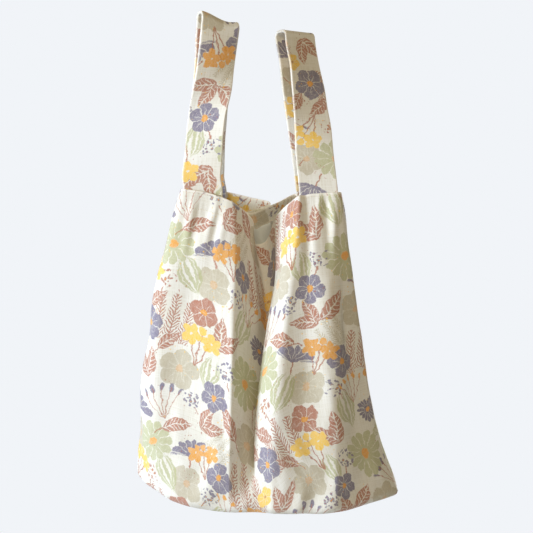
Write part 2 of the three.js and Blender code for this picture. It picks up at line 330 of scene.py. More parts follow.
class Nodes:
    """A shader node tree, and the ways to add nodes to it."""

    def __init__(self, tree: bpy.types.NodeTree) -> None:
        """Keeps the tree."""
        self.tree = tree

    def put(self, node: bpy.types.Node, key: str | int, value: object) -> None:
        """Sets or links one of a node's inputs."""
        socket = node.inputs[key]
        if isinstance(value, Sock):
            self.tree.links.new(value.socket, socket)
        else:
            socket.default_value = value

    def node(self, kind: str, settings: dict | None = None, out: str | int = 0, **values: object) -> Sock:
        """Adds a node.

        Args:
            kind: The node's type.
            settings: Its properties, set before its sockets.
            out: Which output to return.
            **values: Numbers or links for its inputs, with _ for each space in a name.

        Returns:
            The output.
        """
        node = self.tree.nodes.new(kind)
        for key, value in (settings or {}).items():
            setattr(node, key, value)
        for key, value in values.items():
            self.put(node, key.replace("_", " "), value)
        return Sock(self, node.outputs[out])

    def math(self, operation: str, *values: Sock | float, clamp: bool = False) -> Sock:
        """Adds a Math node with its inputs in order."""
        node = self.tree.nodes.new("ShaderNodeMath")
        node.operation = operation
        node.use_clamp = clamp
        for index, value in enumerate(values):
            self.put(node, index, value)
        return Sock(self, node.outputs[0])

    def group(self, tree: bpy.types.NodeTree, **values: object) -> dict[str, Sock]:
        """Adds a node group and returns its outputs by name."""
        node = self.tree.nodes.new("ShaderNodeGroup")
        node.node_tree = tree
        for key, value in values.items():
            self.put(node, key.replace("_", " "), value)
        return {output.name: Sock(self, output) for output in node.outputs}

    def outputs(self, kind: str, *values: object) -> list[Sock]:
        """Adds a node with its inputs in order, and returns all of its outputs."""
        node = self.tree.nodes.new(kind)
        for index, value in enumerate(values):
            self.put(node, index, value)
        return [Sock(self, output) for output in node.outputs]

    def vector(self, x: Sock | float, y: Sock | float, z: Sock | float = 0.0) -> Sock:
        """Joins three numbers."""
        return self.node("ShaderNodeCombineXYZ", X=x, Y=y, Z=z)

    def noise(self, at: Sock, scale: float, detail: float = 2.0, rough: float = 0.5,
              out: str = "Fac") -> Sock:
        """Adds noise, from 0 to 1."""
        return self.node("ShaderNodeTexNoise", None, out, Vector=at, Scale=scale, Detail=detail,
                         Roughness=rough)

    def mix(self, share: Sock | float, a: Sock | tuple, b: Sock | tuple) -> Sock:
        """Mixes two colours by a share."""
        node = self.tree.nodes.new("ShaderNodeMix")
        node.data_type = "RGBA"
        node.clamp_factor = True
        colors = [index for index, socket in enumerate(node.inputs) if socket.type == "RGBA"]
        self.put(node, 0, share)
        self.put(node, colors[0], a)
        self.put(node, colors[1], b)
        return Sock(self, next(socket for socket in node.outputs if socket.type == "RGBA"))

    def end(self, kind: str, surface: Sock) -> None:
        """Ends the tree in an output node of that kind."""
        self.outputs(f"ShaderNodeOutput{kind}", surface)


class Shader(Nodes):
    """A material's node tree."""

    def __init__(self, name: str) -> None:
        """Makes an empty material of that name."""
        self.material = bpy.data.materials.new(name)
        self.material.use_nodes = True
        super().__init__(self.material.node_tree)
        self.tree.nodes.clear()

    def uv(self) -> tuple[Sock, Sock]:
        """Returns the print's coordinates, in millimetres of cloth."""
        place = self.node("ShaderNodeUVMap", {"uv_map": "cloth"})
        across, down, _ = self.outputs("ShaderNodeSeparateXYZ", place)
        return across / MM, down / MM

    def attribute(self, name: str) -> Sock:
        """Returns a number stored at the mesh's corners."""
        return self.node("ShaderNodeAttribute", {"attribute_name": name}, "Fac")

    def bump(self, height: Sock, strength: float, distance: float) -> Sock:
        """Turns a height into a normal."""
        return self.node("ShaderNodeBump", Height=height, Strength=strength, Distance=distance)

    def surface(self, color: Sock | tuple, roughness: Sock | float, normal: Sock | None = None,
                **constants: float) -> bpy.types.Material:
        """Ends the tree in a Principled surface.

        Args:
            color: The base colour.
            roughness: The roughness.
            normal: The bumped normal, if any.
            **constants: Further inputs that are the same all over, with _ for each space.

        Returns:
            The finished material.
        """
        values = {"Base_Color": color, "Roughness": roughness, **constants}
        if normal is not None:
            values["Normal"] = normal
        self.end("Material", self.node("ShaderNodeBsdfPrincipled", **values))
        return self.material


def srgb(code: str) -> tuple[float, float, float, float]:
    """Returns a linear colour from its six-digit display code."""
    parts = [int(code[i:i + 2], 16) / 255 for i in (0, 2, 4)]
    line = [p / 12.92 if p <= 0.04045 else ((p + 0.055) / 1.055) ** 2.4 for p in parts]
    return (*line, 1.0)


class Ink(Enum):
    """The print's inks, in the order in which they go on the cloth."""

    KHAKI = "b9ae90"
    SAGE = "b5b685"
    PLUM = "7b748a"
    RUST = "b1735a"
    YELLOW = "f3c750"
    ORANGE = "e7a23c"


# How much each ink hides the cloth under it
INK_STRENGTH = {Ink.KHAKI: 0.78, Ink.SAGE: 0.86}


@dataclass(frozen=True)
class Motif:
    """One motif of the print: its kind, its place in the repeat, its half size and its turn."""

    kind: str
    u: float
    v: float
    size: float
    turn: float = 0.0
    ink: Ink = Ink.PLUM
    count: int = 5


@dataclass(frozen=True)
class Place:
    """A motif's own coordinates, 1 at its half size with y up its height, and how it is drawn there.

    Sharp is its edges' sharpness, count its number of petals, and grain the distance to the nearest speck.
    """

    x: Sock
    y: Sock
    sharp: Sock
    count: Sock
    grain: Sock

    @property
    def r(self) -> Sock:
        """The distance from the middle."""
        return (self.x * self.x + self.y * self.y).sqrt()

    @property
    def angle(self) -> Sock:
        """The angle around the middle."""
        return self.y.angle_to(self.x)

    def turned(self, angle: float, x: float = 0.0, y: float = 0.0, size: float = 1.0) -> "Place":
        """Returns the coordinates about another middle, turned and resized."""
        c, s = math.cos(angle) / size, math.sin(angle) / size
        dx, dy = self.x - x, self.y - y
        return replace(self, x=dx * c + dy * s, y=dy * c - dx * s, sharp=self.sharp * size)

    def folded(self) -> "Place":
        """Returns the coordinates with the left half laid over the right."""
        return replace(self, x=abs(self.x))

    def mask(self, depth: Sock) -> Sock:
        """Turns a signed depth into a mask with this motif's sharpness."""
        return depth.edge(self.sharp)


class Stamps:
    """The ways to draw a motif: each gives its shape, what it covers, its heart and its stem."""

    @staticmethod
    def bloom(at: Place) -> dict[str, Sock]:
        """Draws a blossom with broad petals, veins and a round heart."""
        r, turn = at.r, at.angle * at.count * 0.5
        lobe = abs(turn.cos())
        whole = at.mask(lobe ** 0.7 * 0.26 + 0.7 - r)
        gap = at.mask(lobe * r * (2 / at.count) - 0.018)
        vein = at.mask(abs(turn.sin()) * r * (2 / at.count) - 0.012).max((r - 0.62).edge(10.0))
        return {"Shape": whole * gap * vein, "Cover": whole, "Heart": at.mask(0.19 - r)}

    @staticmethod
    def daisy(at: Place) -> dict[str, Sock]:
        """Draws an open flower with many ragged petals."""
        r, turn = at.r, at.angle * at.count * 0.5
        lobe = abs(turn.cos())
        ragged = (at.angle * 3.0).sin() * 0.06 + (at.angle * 7.0).cos() * 0.03
        whole = at.mask(lobe ** 0.45 * 0.3 + ragged + 0.64 - r)
        gap = at.mask(lobe * r * (2 / at.count) - 0.014).max((0.34 - r).edge(10.0))
        heart = at.mask(0.19 - r)
        return {"Shape": whole * gap * (1 - heart), "Cover": whole, "Heart": heart}

    @staticmethod
    def fan(at: Place) -> dict[str, Sock]:
        """Draws a flower from its side, its petals spread like a fan."""
        low = at.turned(0.0, 0.0, -0.55)
        r = (low.x * low.x * 0.55 + low.y * low.y * 1.5).sqrt()
        turn = low.x.angle_to(low.y)
        lobe = abs((turn * at.count * 0.5).cos())
        whole = at.mask(lobe ** 0.5 * 0.22 + 0.78 - r) * (1.3 - abs(turn)).edge(12.0)
        gap = at.mask(lobe * r * (2 / at.count) - 0.014).max((0.3 - r).edge(10.0))
        stem = at.mask(0.035 - abs(at.x + at.y * 0.15)) * at.mask(0.3 - abs(at.y + 0.8))
        return {"Shape": whole * gap, "Cover": whole, "Stem": stem}

    @staticmethod
    def leaf(at: Place) -> dict[str, Sock]:
        """Draws a leaf with its rib and veins left bare."""
        width = abs(at.x + at.y * at.y * 0.1)
        body = (1 - at.y * at.y) * (0.4 - at.y * 0.14) - width
        inside = at.mask(body) * at.mask(1.0 - abs(at.y))
        rib = at.mask(width - 0.028)
        veins = at.mask(abs((at.y - width * 0.9).wrap(0.26)) - 0.024).max(at.mask(0.05 - body))
        stem = at.mask(0.03 - width) * at.mask(0.3 - abs(at.y + 1.2))
        return {"Shape": inside * rib * veins, "Cover": inside, "Stem": stem}

    @staticmethod
    def leaves(at: Place) -> dict[str, Sock]:
        """Draws two leaves side by side."""
        return Stamps.leaf(at.folded().turned(-0.52, 0.33, 0.12, 0.9))

    @staticmethod
    def heather(at: Place) -> dict[str, Sock]:
        """Draws three upright sprigs of short strokes."""
        column = (at.x / 0.62).round().min(1.0).max(-1.0)
        x = at.x - column * 0.62 - at.y * at.y * 0.05
        y = at.y + abs(column) * 0.22
        width = abs(x)
        along = (y - width * 1.25).wrap(0.17)
        strokes = at.mask(0.035 - abs(along)) * at.mask(0.26 - y * 0.1 - width)
        stem = at.mask(0.024 - width)
        return {"Shape": strokes.max(stem) * at.mask(0.95 - abs(y))}

    @staticmethod
    def trumpets(at: Place) -> dict[str, Sock]:
        """Draws two small flowers and a bud on thin stems."""
        half = at.folded()
        head = half.turned(-0.7, 0.46, 0.36)
        lobes = at.mask(abs((head.angle * 2.5).cos()) ** 0.8 * 0.22 + 0.26 - head.r)
        bud = at.mask(0.17 - at.turned(0.0, 0.02, 0.72).r)
        hole = at.mask(head.r - 0.05)
        line = half.x - (at.y + 1.0) * 0.34
        stems = at.mask(0.03 - abs(line)) * at.mask(0.55 - abs(at.y + 0.42))
        stalk = at.mask(0.026 - abs(at.x)) * at.mask(0.75 - abs(at.y + 0.15))
        return {"Shape": (lobes * hole).max(bud), "Cover": lobes.max(bud), "Stem": stems.max(stalk)}

    @staticmethod
    def blades(at: Place) -> dict[str, Sock]:
        """Draws a tuft of soft curved leaves."""
        arch = 1 - at.y * at.y
        outer = abs(abs(at.x) - arch * 0.42 - at.y * 0.12)
        blades = at.mask(arch * 0.17 - outer) * at.mask(outer - 0.02)
        middle = at.mask(arch * 0.1 - abs(at.x - at.y * 0.1))
        return {"Shape": blades.max(middle) * at.mask(1.0 - abs(at.y))}

    @staticmethod
    def umbel(at: Place) -> dict[str, Sock]:
        """Draws a spray of buds on thin stems."""
        down = at.y + 1.0
        reach = (at.x * at.x + down * down).sqrt()
        turn = at.x.angle_to(down) + (reach - 1.0) * 0.12
        ray = turn.wrap(0.3) * reach
        fan = (0.62 - abs(turn)).edge(20.0)
        stems = at.mask(0.022 - abs(ray)) * at.mask(1.72 - reach)
        oval = (reach - 1.72) * 0.55
        buds = at.mask(0.12 - (oval * oval + ray * ray).sqrt())
        return {"Shape": buds * fan, "Stem": stems * fan}

    @staticmethod
    def seeds(at: Place) -> dict[str, Sock]:
        """Draws a cluster of small florets with a few bright ones."""
        head = at.turned(0.0, 0.05, 0.2)
        florets = (0.44 - at.grain).edge(7.0) * at.mask(0.72 - head.r)
        bright = (0.24 - at.grain).edge(7.0) * at.mask(0.34 - head.r)
        bend = abs(at.x + at.y * at.y * 0.12)
        stalk = at.mask(0.045 - bend) * at.mask(0.3 - abs(at.y + 0.75))
        return {"Shape": florets, "Heart": bright, "Stem": stalk, "Cover": florets}


@dataclass
class BotanicalPrint:
    """A half-drop repeat of blossoms, leaves and sprigs, drawn as if by hand."""

    repeat_u: float = 168.0
    repeat_v: float = 196.0
    sharpness: float = 1.6
    motifs: tuple[Motif, ...] = (
        Motif("bloom", 58, 74, 21, 0.5, Ink.KHAKI, 5),
        Motif("bloom", 146, 112, 20, 1.3, Ink.KHAKI, 5),
        Motif("bloom", 84, 180, 19, 2.2, Ink.KHAKI, 4),
        Motif("bloom", 12, 150, 17, 1.7, Ink.KHAKI, 5),
        Motif("bloom", 77, 13, 15, 0.4, Ink.RUST, 4),
        Motif("leaves", 93, 116, 17, 0.9, Ink.RUST),
        Motif("leaf", 29, 8, 15, 0.9, Ink.RUST),
        Motif("leaf", 46, 47, 14, 0.9, Ink.RUST),
        Motif("seeds", 109, 186, 13, 0.8, Ink.PLUM),
        Motif("leaf", 161, 38, 14, -0.8, Ink.SAGE),
        Motif("heather", 48, 22, 22, 0.12, Ink.RUST),
        Motif("heather", 150, 150, 22, -0.15, Ink.RUST),
        Motif("heather", 112, 132, 16, 0.5, Ink.KHAKI),
        Motif("seeds", 74, 101, 12, -0.5, Ink.PLUM),
        Motif("blades", 122, 12, 21, 0.35, Ink.SAGE),
        Motif("blades", 60, 178, 20, -0.5, Ink.SAGE),
        Motif("blades", 88, 68, 17, 0.2, Ink.SAGE),
        Motif("umbel", 44, 108, 19, -0.3, Ink.PLUM),
        Motif("umbel", 160, 84, 18, 0.35, Ink.PLUM),
        Motif("umbel", 132, 188, 16, 0.1, Ink.ORANGE),
        Motif("daisy", 134, 60, 25, 0.2, Ink.SAGE, 13),
        Motif("daisy", 40, 150, 22, 0.6, Ink.SAGE, 11),
        Motif("daisy", 150, 18, 13, 0.1, Ink.PLUM, 15),
        Motif("leaves", 100, 32, 20, 0.5, Ink.RUST),
        Motif("leaves", 24, 76, 19, -0.4, Ink.RUST),
        Motif("leaf", 116, 106, 18, -0.7, Ink.RUST),
        Motif("leaf", 62, 128, 17, 1.2, Ink.RUST),
        Motif("leaf", 4, 12, 15, 0.6, Ink.RUST),
        Motif("bloom", 22, 34, 18, 0.3, Ink.PLUM, 5),
        Motif("bloom", 120, 160, 16, 1.4, Ink.PLUM, 4),
        Motif("bloom", 96, 88, 15, 0.9, Ink.PLUM, 5),
        Motif("fan", 12, 112, 24, 0.35, Ink.PLUM, 17),
        Motif("fan", 78, 144, 19, -0.5, Ink.PLUM, 13),
        Motif("trumpets", 76, 46, 22, 0.15, Ink.YELLOW),
        Motif("trumpets", 98, 152, 19, -0.35, Ink.ORANGE),
        Motif("trumpets", 14, 180, 20, 0.5, Ink.YELLOW),
        Motif("seeds", 106, 62, 14, -0.2, Ink.PLUM),
        Motif("seeds", 38, 186, 13, 0.5, Ink.RUST),
        Motif("bloom", 160, 176, 11, 0.7, Ink.ORANGE, 5),
        Motif("bloom", 4, 58, 10, 0.2, Ink.YELLOW, 5),
    )
    inks: dict[Ink, Sock] = field(default_factory=dict)

    def _stamp(self, kind: str) -> bpy.types.NodeTree:
        """Makes the node group that draws one kind of motif at its place in the repeat."""
        tree = bpy.data.node_groups.new(f"print_{kind}", "ShaderNodeTree")
        for name in ("U", "V", "Grain", "Middle U", "Middle V", "Turn", "Size", "Count"):
            tree.interface.new_socket(name, in_out="INPUT", socket_type="NodeSocketFloat")
        for name in ("Shape", "Cover", "Heart", "Stem"):
            tree.interface.new_socket(name, in_out="OUTPUT", socket_type="NodeSocketFloat")
        nodes = Nodes(tree)
        entry = tree.nodes.new("NodeGroupInput")
        given = {socket.name: Sock(nodes, socket) for socket in entry.outputs if socket.name}
        away = given["U"] - given["Middle U"]
        column = (away / self.repeat_u).round()
        flip = column.ping_pong(1.0) * -2.0 + 1.0
        x = (away - column * self.repeat_u) * flip
        y = (given["Middle V"] - given["V"] + column * (self.repeat_v / 2)).wrap(self.repeat_v)
        c, s = given["Turn"].cos() / given["Size"], given["Turn"].sin() / given["Size"]
        sharp = given["Size"] * self.sharpness
        at = Place(x * c + y * s, y * c - x * s, sharp, given["Count"], given["Grain"])
        masks = getattr(Stamps, kind)(at)
        leave = tree.nodes.new("NodeGroupOutput")
        for name, mask in masks.items():
            nodes.put(leave, name, mask)
        return tree

    def _put(self, ink: Ink, mask: Sock) -> None:
        """Adds a mask to an ink."""
        self.inks[ink] = mask if ink not in self.inks else self.inks[ink].max(mask)

    def _lay(self, motif: Motif, masks: dict[str, Sock]) -> None:
        """Lays one motif over those before it."""
        faint = motif.ink is Ink.KHAKI
        if not faint:
            for ink in self.inks:
                self.inks[ink] = self.inks[ink] * (1 - masks["Cover"])
        warm = motif.ink in (Ink.ORANGE, Ink.YELLOW)
        self._put(motif.ink, masks["Shape"].max(masks["Cover"] * 0.7) if faint else masks["Shape"])
        self._put(Ink.RUST if warm else Ink.ORANGE, masks["Heart"] * (0.4 if faint else 1.0))
        self._put(Ink.RUST, masks["Stem"])

    def _scatter(self, shader: Shader, u: Sock, v: Sock, grain: Sock) -> None:
        """Scatters small dots between the motifs."""
        patch = shader.noise(shader.vector(u, v, 31.0), 0.028, 1.0)
        dots = (0.16 - grain).edge(12.0)
        self._put(Ink.YELLOW, dots * (patch - 0.57).edge(30.0))
        self._put(Ink.RUST, dots * (0.42 - patch).edge(30.0))

    def paint(self, shader: Shader, u: Sock, v: Sock, ground: Sock | tuple, cover: Sock) -> Sock:
        """Prints the motifs on the cloth.

        Args:
            shader: The material's tree.
            u: The place across the cloth, in millimetres.
            v: The place down the cloth, in millimetres.
            ground: The unprinted cloth's colour.
            cover: How much of the ink the cloth takes up, from 0 to 1.

        Returns:
            The printed colour.
        """
        shaky = shader.noise(shader.vector(u, v), 0.13, 3.0, 0.62, "Color")
        aside, along, _ = shader.outputs("ShaderNodeSeparateColor", shaky)
        u = u + (aside - 0.5) * 7.0
        v = v + (along - 0.5) * 7.0
        grain = shader.node("ShaderNodeTexVoronoi", None, "Distance", Vector=shader.vector(u, v), Scale=0.3,
                            Randomness=0.8)
        stamps = {kind: self._stamp(kind) for kind in {motif.kind: None for motif in self.motifs}}
        for motif in self.motifs:
            masks = shader.group(stamps[motif.kind], U=u, V=v, Grain=grain, Middle_U=motif.u,
                                 Middle_V=motif.v, Turn=motif.turn, Size=motif.size, Count=motif.count)
            self._lay(motif, masks)
        self._scatter(shader, u, v, grain)
        brush = shader.noise(shader.vector(u, v * 0.35), 0.6, 3.0, 0.7).within(0.22, 0.6) * 0.3 + 0.7
        specks = shader.noise(shader.vector(u, v), 1.3, 1.0).within(0.52, 0.7)
        brush = brush * (1 - specks * 0.3)
        color = ground
        for ink in Ink:
            if ink in self.inks:
                strength = brush * cover * INK_STRENGTH.get(ink, 1.0)
                color = shader.mix(self.inks[ink] * strength, color, srgb(ink.value))
        return color


@dataclass(frozen=True)
class Canvas:
    """Slub cotton canvas, with the print on its face and a faint trace of it on its back."""

    ground: str = "e8e6dd"
    yarn: float = 0.95
    weave_height: float = 0.16
    roughness: float = 0.92

    def material(self, name: str) -> bpy.types.Material:
        """Makes the material, which reads the cloth's UV map and its reverse attribute."""
        shader = Shader(name)
        u, v = shader.uv()
        reverse = shader.attribute("reverse")
        wear_and_painted_highlight = shader.attribute("wear_and_painted_highlight")
        warp = shader.noise(shader.vector(u * 0.9, v * 0.035), 1.0, 2.0, 0.6)
        weft = shader.noise(shader.vector(u * 0.03, v * 0.9, 7.0), 1.0, 2.0, 0.6)
        slub = (warp.within(0.58, 0.76)).max(weft.within(0.6, 0.78))
        mottle = shader.noise(shader.vector(u, v), 0.03, 2.0)
        ground = shader.mix(mottle.within(0.3, 0.7) * 0.5, srgb(self.ground), srgb("e4dfcf"))
        ground = shader.mix(slub * 0.6, ground, srgb("f3f2ea"))
        ground = shader.mix((0.43 - (warp + weft) * 0.5).edge(6.0) * 0.5, ground, srgb("cfc8b1"))
        # Painted highlight, with some wear: this edge mask lightens the cloth and fades its print along the
        # mouth's fold, the inner hem's lower edge and the handles' edges
        ground = shader.mix(wear_and_painted_highlight * 0.7, ground, srgb("f8f4ea"))
        cover = (1 - slub * 0.2) * (1 - reverse * 0.72) * (1 - wear_and_painted_highlight * 0.6) * 0.94
        color = BotanicalPrint().paint(shader, u, v, ground, cover)
        turn = 2 * math.pi / self.yarn
        over = (u * (turn / 2)).sin() * (v * (turn / 2)).sin()
        weave = (u * turn).cos() * 0.5 + (v * turn).cos() * 0.5 + over * 0.6
        height = weave * 0.22 + slub * 0.7 + (warp + weft) * 0.4
        normal = shader.bump(height, 0.55, self.weave_height * MM)
        rough = slub * -0.06 + self.roughness
        return shader.surface(color, rough, normal, Sheen_Weight=0.12, Sheen_Roughness=0.6,
                              Specular_IOR_Level=0.25)


@dataclass(frozen=True)
class Thread:
    """Matt cotton sewing thread."""

    color: str = "efe6cf"

    def material(self) -> bpy.types.Material:
        """Makes the material, with the thread's twist."""
        shader = Shader("thread")
        at = shader.node("ShaderNodeTexCoord", None, "Object")
        twist = shader.node("ShaderNodeTexWave", {"wave_type": "BANDS"}, "Fac", Vector=at, Scale=900.0,
                            Distortion=2.0)
        color = shader.mix(twist * 0.35, srgb(self.color), srgb("d9cba9"))
        return shader.surface(color, 0.8, shader.bump(twist, 0.3, 0.0001), Specular_IOR_Level=0.3)


@dataclass(frozen=True)
class Ribbon:
    """The label's woven satin, bare."""

    color: str = "fafdf8"

    def material(self) -> bpy.types.Material:
        """Makes the material, with the satin's fine ribs."""
        shader = Shader("label_satin")
        u, v = shader.uv()
        ribs = (v * (2 * math.pi / 0.5)).cos() * 0.5 + 0.5
        threads = shader.noise(shader.vector(u * 0.3, v * 3.0), 1.0, 2.0)
        color = shader.mix(threads * 0.5, srgb(self.color), srgb("edf4ec"))
        selvage = (abs(u) - 11.0).edge(2.0)
        color = shader.mix(selvage * 0.6, color, srgb("f6f8f3"))
        rough = threads * 0.15 + 0.42
        return shader.surface(color, rough, shader.bump(ribs * 0.4 + threads, 0.4, 0.00012),
                              Sheen_Weight=0.2, Specular_IOR_Level=0.5)


@dataclass(frozen=True)
class Fold:
    """The folds of one panel: values by level from the mouth to the base, as in the solids."""

    turn: tuple[float, ...]
    belly: tuple[float, ...]
    left_belly: tuple[float, ...]
    right_belly: tuple[float, ...]
    right_share: tuple[float, ...]
    right_roll: tuple[float, ...]
    hollow: tuple[float, ...]
    across: dict[str, tuple[float, ...]]
    behind: dict[str, tuple[float, ...]]
    droop: tuple[float, ...]


LEVELS = (0.0, 0.15, 0.4, 0.75, 1.0)
FOLD_POINTS = {"shoulder": 0.45, "wall": 1.0, "floor": 1.0, "nose": 1.0, "crest": 1.0}
CORNER_TURN = 1.3

FRONT_FOLD = Fold(
    turn=(4.5, 4.5, 4.5, 3, 1),
    belly=(1, 6, 14, 22, 24),
    left_belly=(0.7, 0.5, 0.15, 0.3, 0.7),
    right_belly=(0.7, 0.8, 0.95, 0.95, 0.95),
    right_share=(0.66, 0.68, 0.73, 0.65, 0.56),
    right_roll=(0, 3, 6.5, 8, 14),
    hollow=(0, 0.5, 1.5, 2, 1.5),
    across={
        "shoulder": (-0.69, -0.64, -0.69, -0.73, -0.77),
        "wall": (-0.25, -0.27, -0.19, -0.34, -0.5),
        "floor": (-0.04, 0.2, 0.36, 0.12, -0.33),
        "nose": (0.45, 0.44, 0.17, -0.08, 0),
        "crest": (0.91, 0.83, 0.6, 0.42, 0.42),
    },
    behind={
        "shoulder": (0.02, 0, -0.08, -0.1, 0),
        "wall": (0.55, 0.5, 0.44, 0.24, 0),
        "floor": (0.95, 0.87, 0.69, 0.38, 0),
        "nose": (0.53, 0.32, 0.24, 0.2, 0.03),
        "crest": (0, -0.06, -0.13, -0.14, -0.05),
    },
    droop=(-4, -4, -4, -0.5, 9, 25, 50, 20, 4, 2, 0.5, -1, -1, -1),
)
BACK_FOLD = Fold(
    turn=(3, 3, 3, 2.5, 1),
    belly=(0, 4, 12, 20, 22),
    left_belly=(0.7,) * 5,
    right_belly=(0.7,) * 5,
    right_share=(0.66,) * 5,
    right_roll=(0,) * 5,
    hollow=(0,) * 5,
    across={
        "shoulder": (-0.35, -0.56, -0.78, -1, -1.12),
        "wall": (0.24, 0.06, -0.22, -0.55, -0.74),
        "floor": (-0.33, -0.22, -0.17, -0.11, -0.33),
        "nose": (0.38, 0.38, 0.38, 0.28, 0),
        "crest": (0.88, 0.92, 0.92, 0.78, 0.36),
    },
    behind={
        "shoulder": (0.03, 0.08, 0.11, 0.09, 0),
        "wall": (0.33, 0.27, 0.23, 0.18, 0),
        "floor": (0.78, 0.62, 0.45, 0.25, 0),
        "nose": (0.41, 0.4, 0.28, 0.14, 0),
        "crest": (0.02, 0, 0, 0, 0),
    },
    droop=(-4, -3.5, -3.5, -3, 5, 11, 20, 11, 2.5, 1, 0, -1, -1, -1),
)


def at_level(values: tuple[float, ...], t: Array) -> Array:
    """Returns the value that changes smoothly down the bag, at each level t."""
    levels, numbers = np.array(LEVELS), np.array(values, float)
    k = np.clip(np.searchsorted(levels, t, side="left") - 1, 0, len(levels) - 2)
    low = np.maximum(np.arange(len(levels)) - 1, 0)
    high = np.minimum(np.arange(len(levels)) + 1, len(levels) - 1)
    slope = (numbers[high] - numbers[low]) / (levels[high] - levels[low])
    span = levels[k + 1] - levels[k]
    f = (t - levels[k]) / span
    g = 1 - f
    rise = (1 + 2 * f) * g * g * numbers[k] + f * g * g * span * slope[k]
    return rise + f * f * (3 - 2 * f) * numbers[k + 1] - f * f * g * span * slope[k + 1]


@dataclass(frozen=True)
class Crease:
    """A crease or soft fold in the cloth, from one place to another, in millimetres of cloth."""

    start: tuple[float, float]
    end: tuple[float, float]
    height: float
    width: float

    def lift(self, u: Array, v: Array) -> Array:
        """Returns how far the crease lifts the cloth at each place."""
        a, b = np.array(self.start), np.array(self.end)
        way = b - a
        f = ((u - a[0]) * way[0] + (v - a[1]) * way[1]) / (way @ way)
        clipped = np.clip(f, 0, 1)
        away = np.hypot(u - a[0] - clipped * way[0], v - a[1] - clipped * way[1])
        taper = np.sin(math.pi * np.clip(f * 0.8 + 0.2, 0, 1))
        return self.height * taper * bell(away, self.width)


@dataclass(frozen=True)
class Ripple:
    """Plane waves over the cloth: how many, their length and direction, and their height in millimetres.

    Drawn is how much a place down the cloth counts. It is below 1 for waves that run down the cloth.
    """

    count: int
    length: float
    along: float
    height: float
    drawn: float = 1.0

    def lift(self, seed: int, u: Array, v: Array) -> Array:
        """Returns how far the ripple lifts the cloth at each place."""
        return waves(seed, self.count, self.length, self.along)(u, v * self.drawn) * self.height


# Long waves and fine ones on the body, puckers along the hem's stitches, flutes below the hem, and the
# folds above the base
WALL_RIPPLES = (
    Ripple(9, 85.0, 0.1, 1.6),
    Ripple(11, 26.0, 0.4, 0.28),
    Ripple(5, 7.5, 0.0, 0.2, 0.25),
    Ripple(4, 15.0, 0.0, 0.75, 0.15),
    Ripple(7, 34.0, 0.9, 1.1),
)
BASE_RIPPLE = Ripple(5, 70.0, 0.6, 1.2)


# Creases and drag lines by their places on the cloth, in millimetres from its middle and its mouth edge
FRONT_CREASES = (
    Crease((88, 6), (82, 52), 1.5, 3.4),
    Crease((94, 8), (92, 34), -1.4, 3.0),
    Crease((109, 4), (106, 32), 1.3, 2.6),
    Crease((115, 6), (113, 30), -0.9, 2.8),
    Crease((124, 14), (119, 62), 1.0, 4.0),
    Crease((-92, 6), (-99, 60), 1.3, 4.2),
    Crease((-100, 12), (-108, 48), -1.0, 4.0),
    Crease((-114, 14), (-117, 70), 1.1, 4.6),
    Crease((-72, 205), (-44, 268), 2.2, 7.0),
    Crease((-60, 200), (-30, 258), -1.6, 7.0),
    Crease((-112, 190), (-96, 270), 1.8, 8.0),
    Crease((46, 215), (62, 282), -1.5, 7.0),
    Crease((100, 150), (112, 262), 1.3, 7.0),
    Crease((-150, 200), (-132, 286), 1.6, 9.0),
    Crease((138, 262), (152, 296), 1.4, 6.0),
    Crease((-157, 20), (-148, 96), 1.8, 6.0),
    Crease((-164, 110), (-140, 190), -1.8, 9.0),
    Crease((158, 30), (150, 120), 1.8, 7.0),
    Crease((164, 130), (146, 226), -1.8, 9.0),
)
BACK_CREASES = (
    Crease((-96, 6), (-100, 58), 1.5, 4.0),
    Crease((-112, 8), (-112, 42), -1.2, 4.0),
    Crease((90, 6), (98, 64), 1.5, 4.2),
    Crease((112, 8), (110, 46), 1.2, 3.6),
    Crease((-70, 120), (-96, 250), 2.2, 10.0),
    Crease((60, 140), (92, 262), 2.0, 10.0),
    Crease((0, 180), (18, 276), -1.8, 9.0),
    Crease((-130, 190), (-112, 280), 1.8, 9.0),
    Crease((-158, 24), (-146, 116), 2.0, 7.0),
    Crease((156, 20), (148, 90), 1.8, 6.0),
    Crease((162, 120), (142, 214), 2.0, 9.0),
)


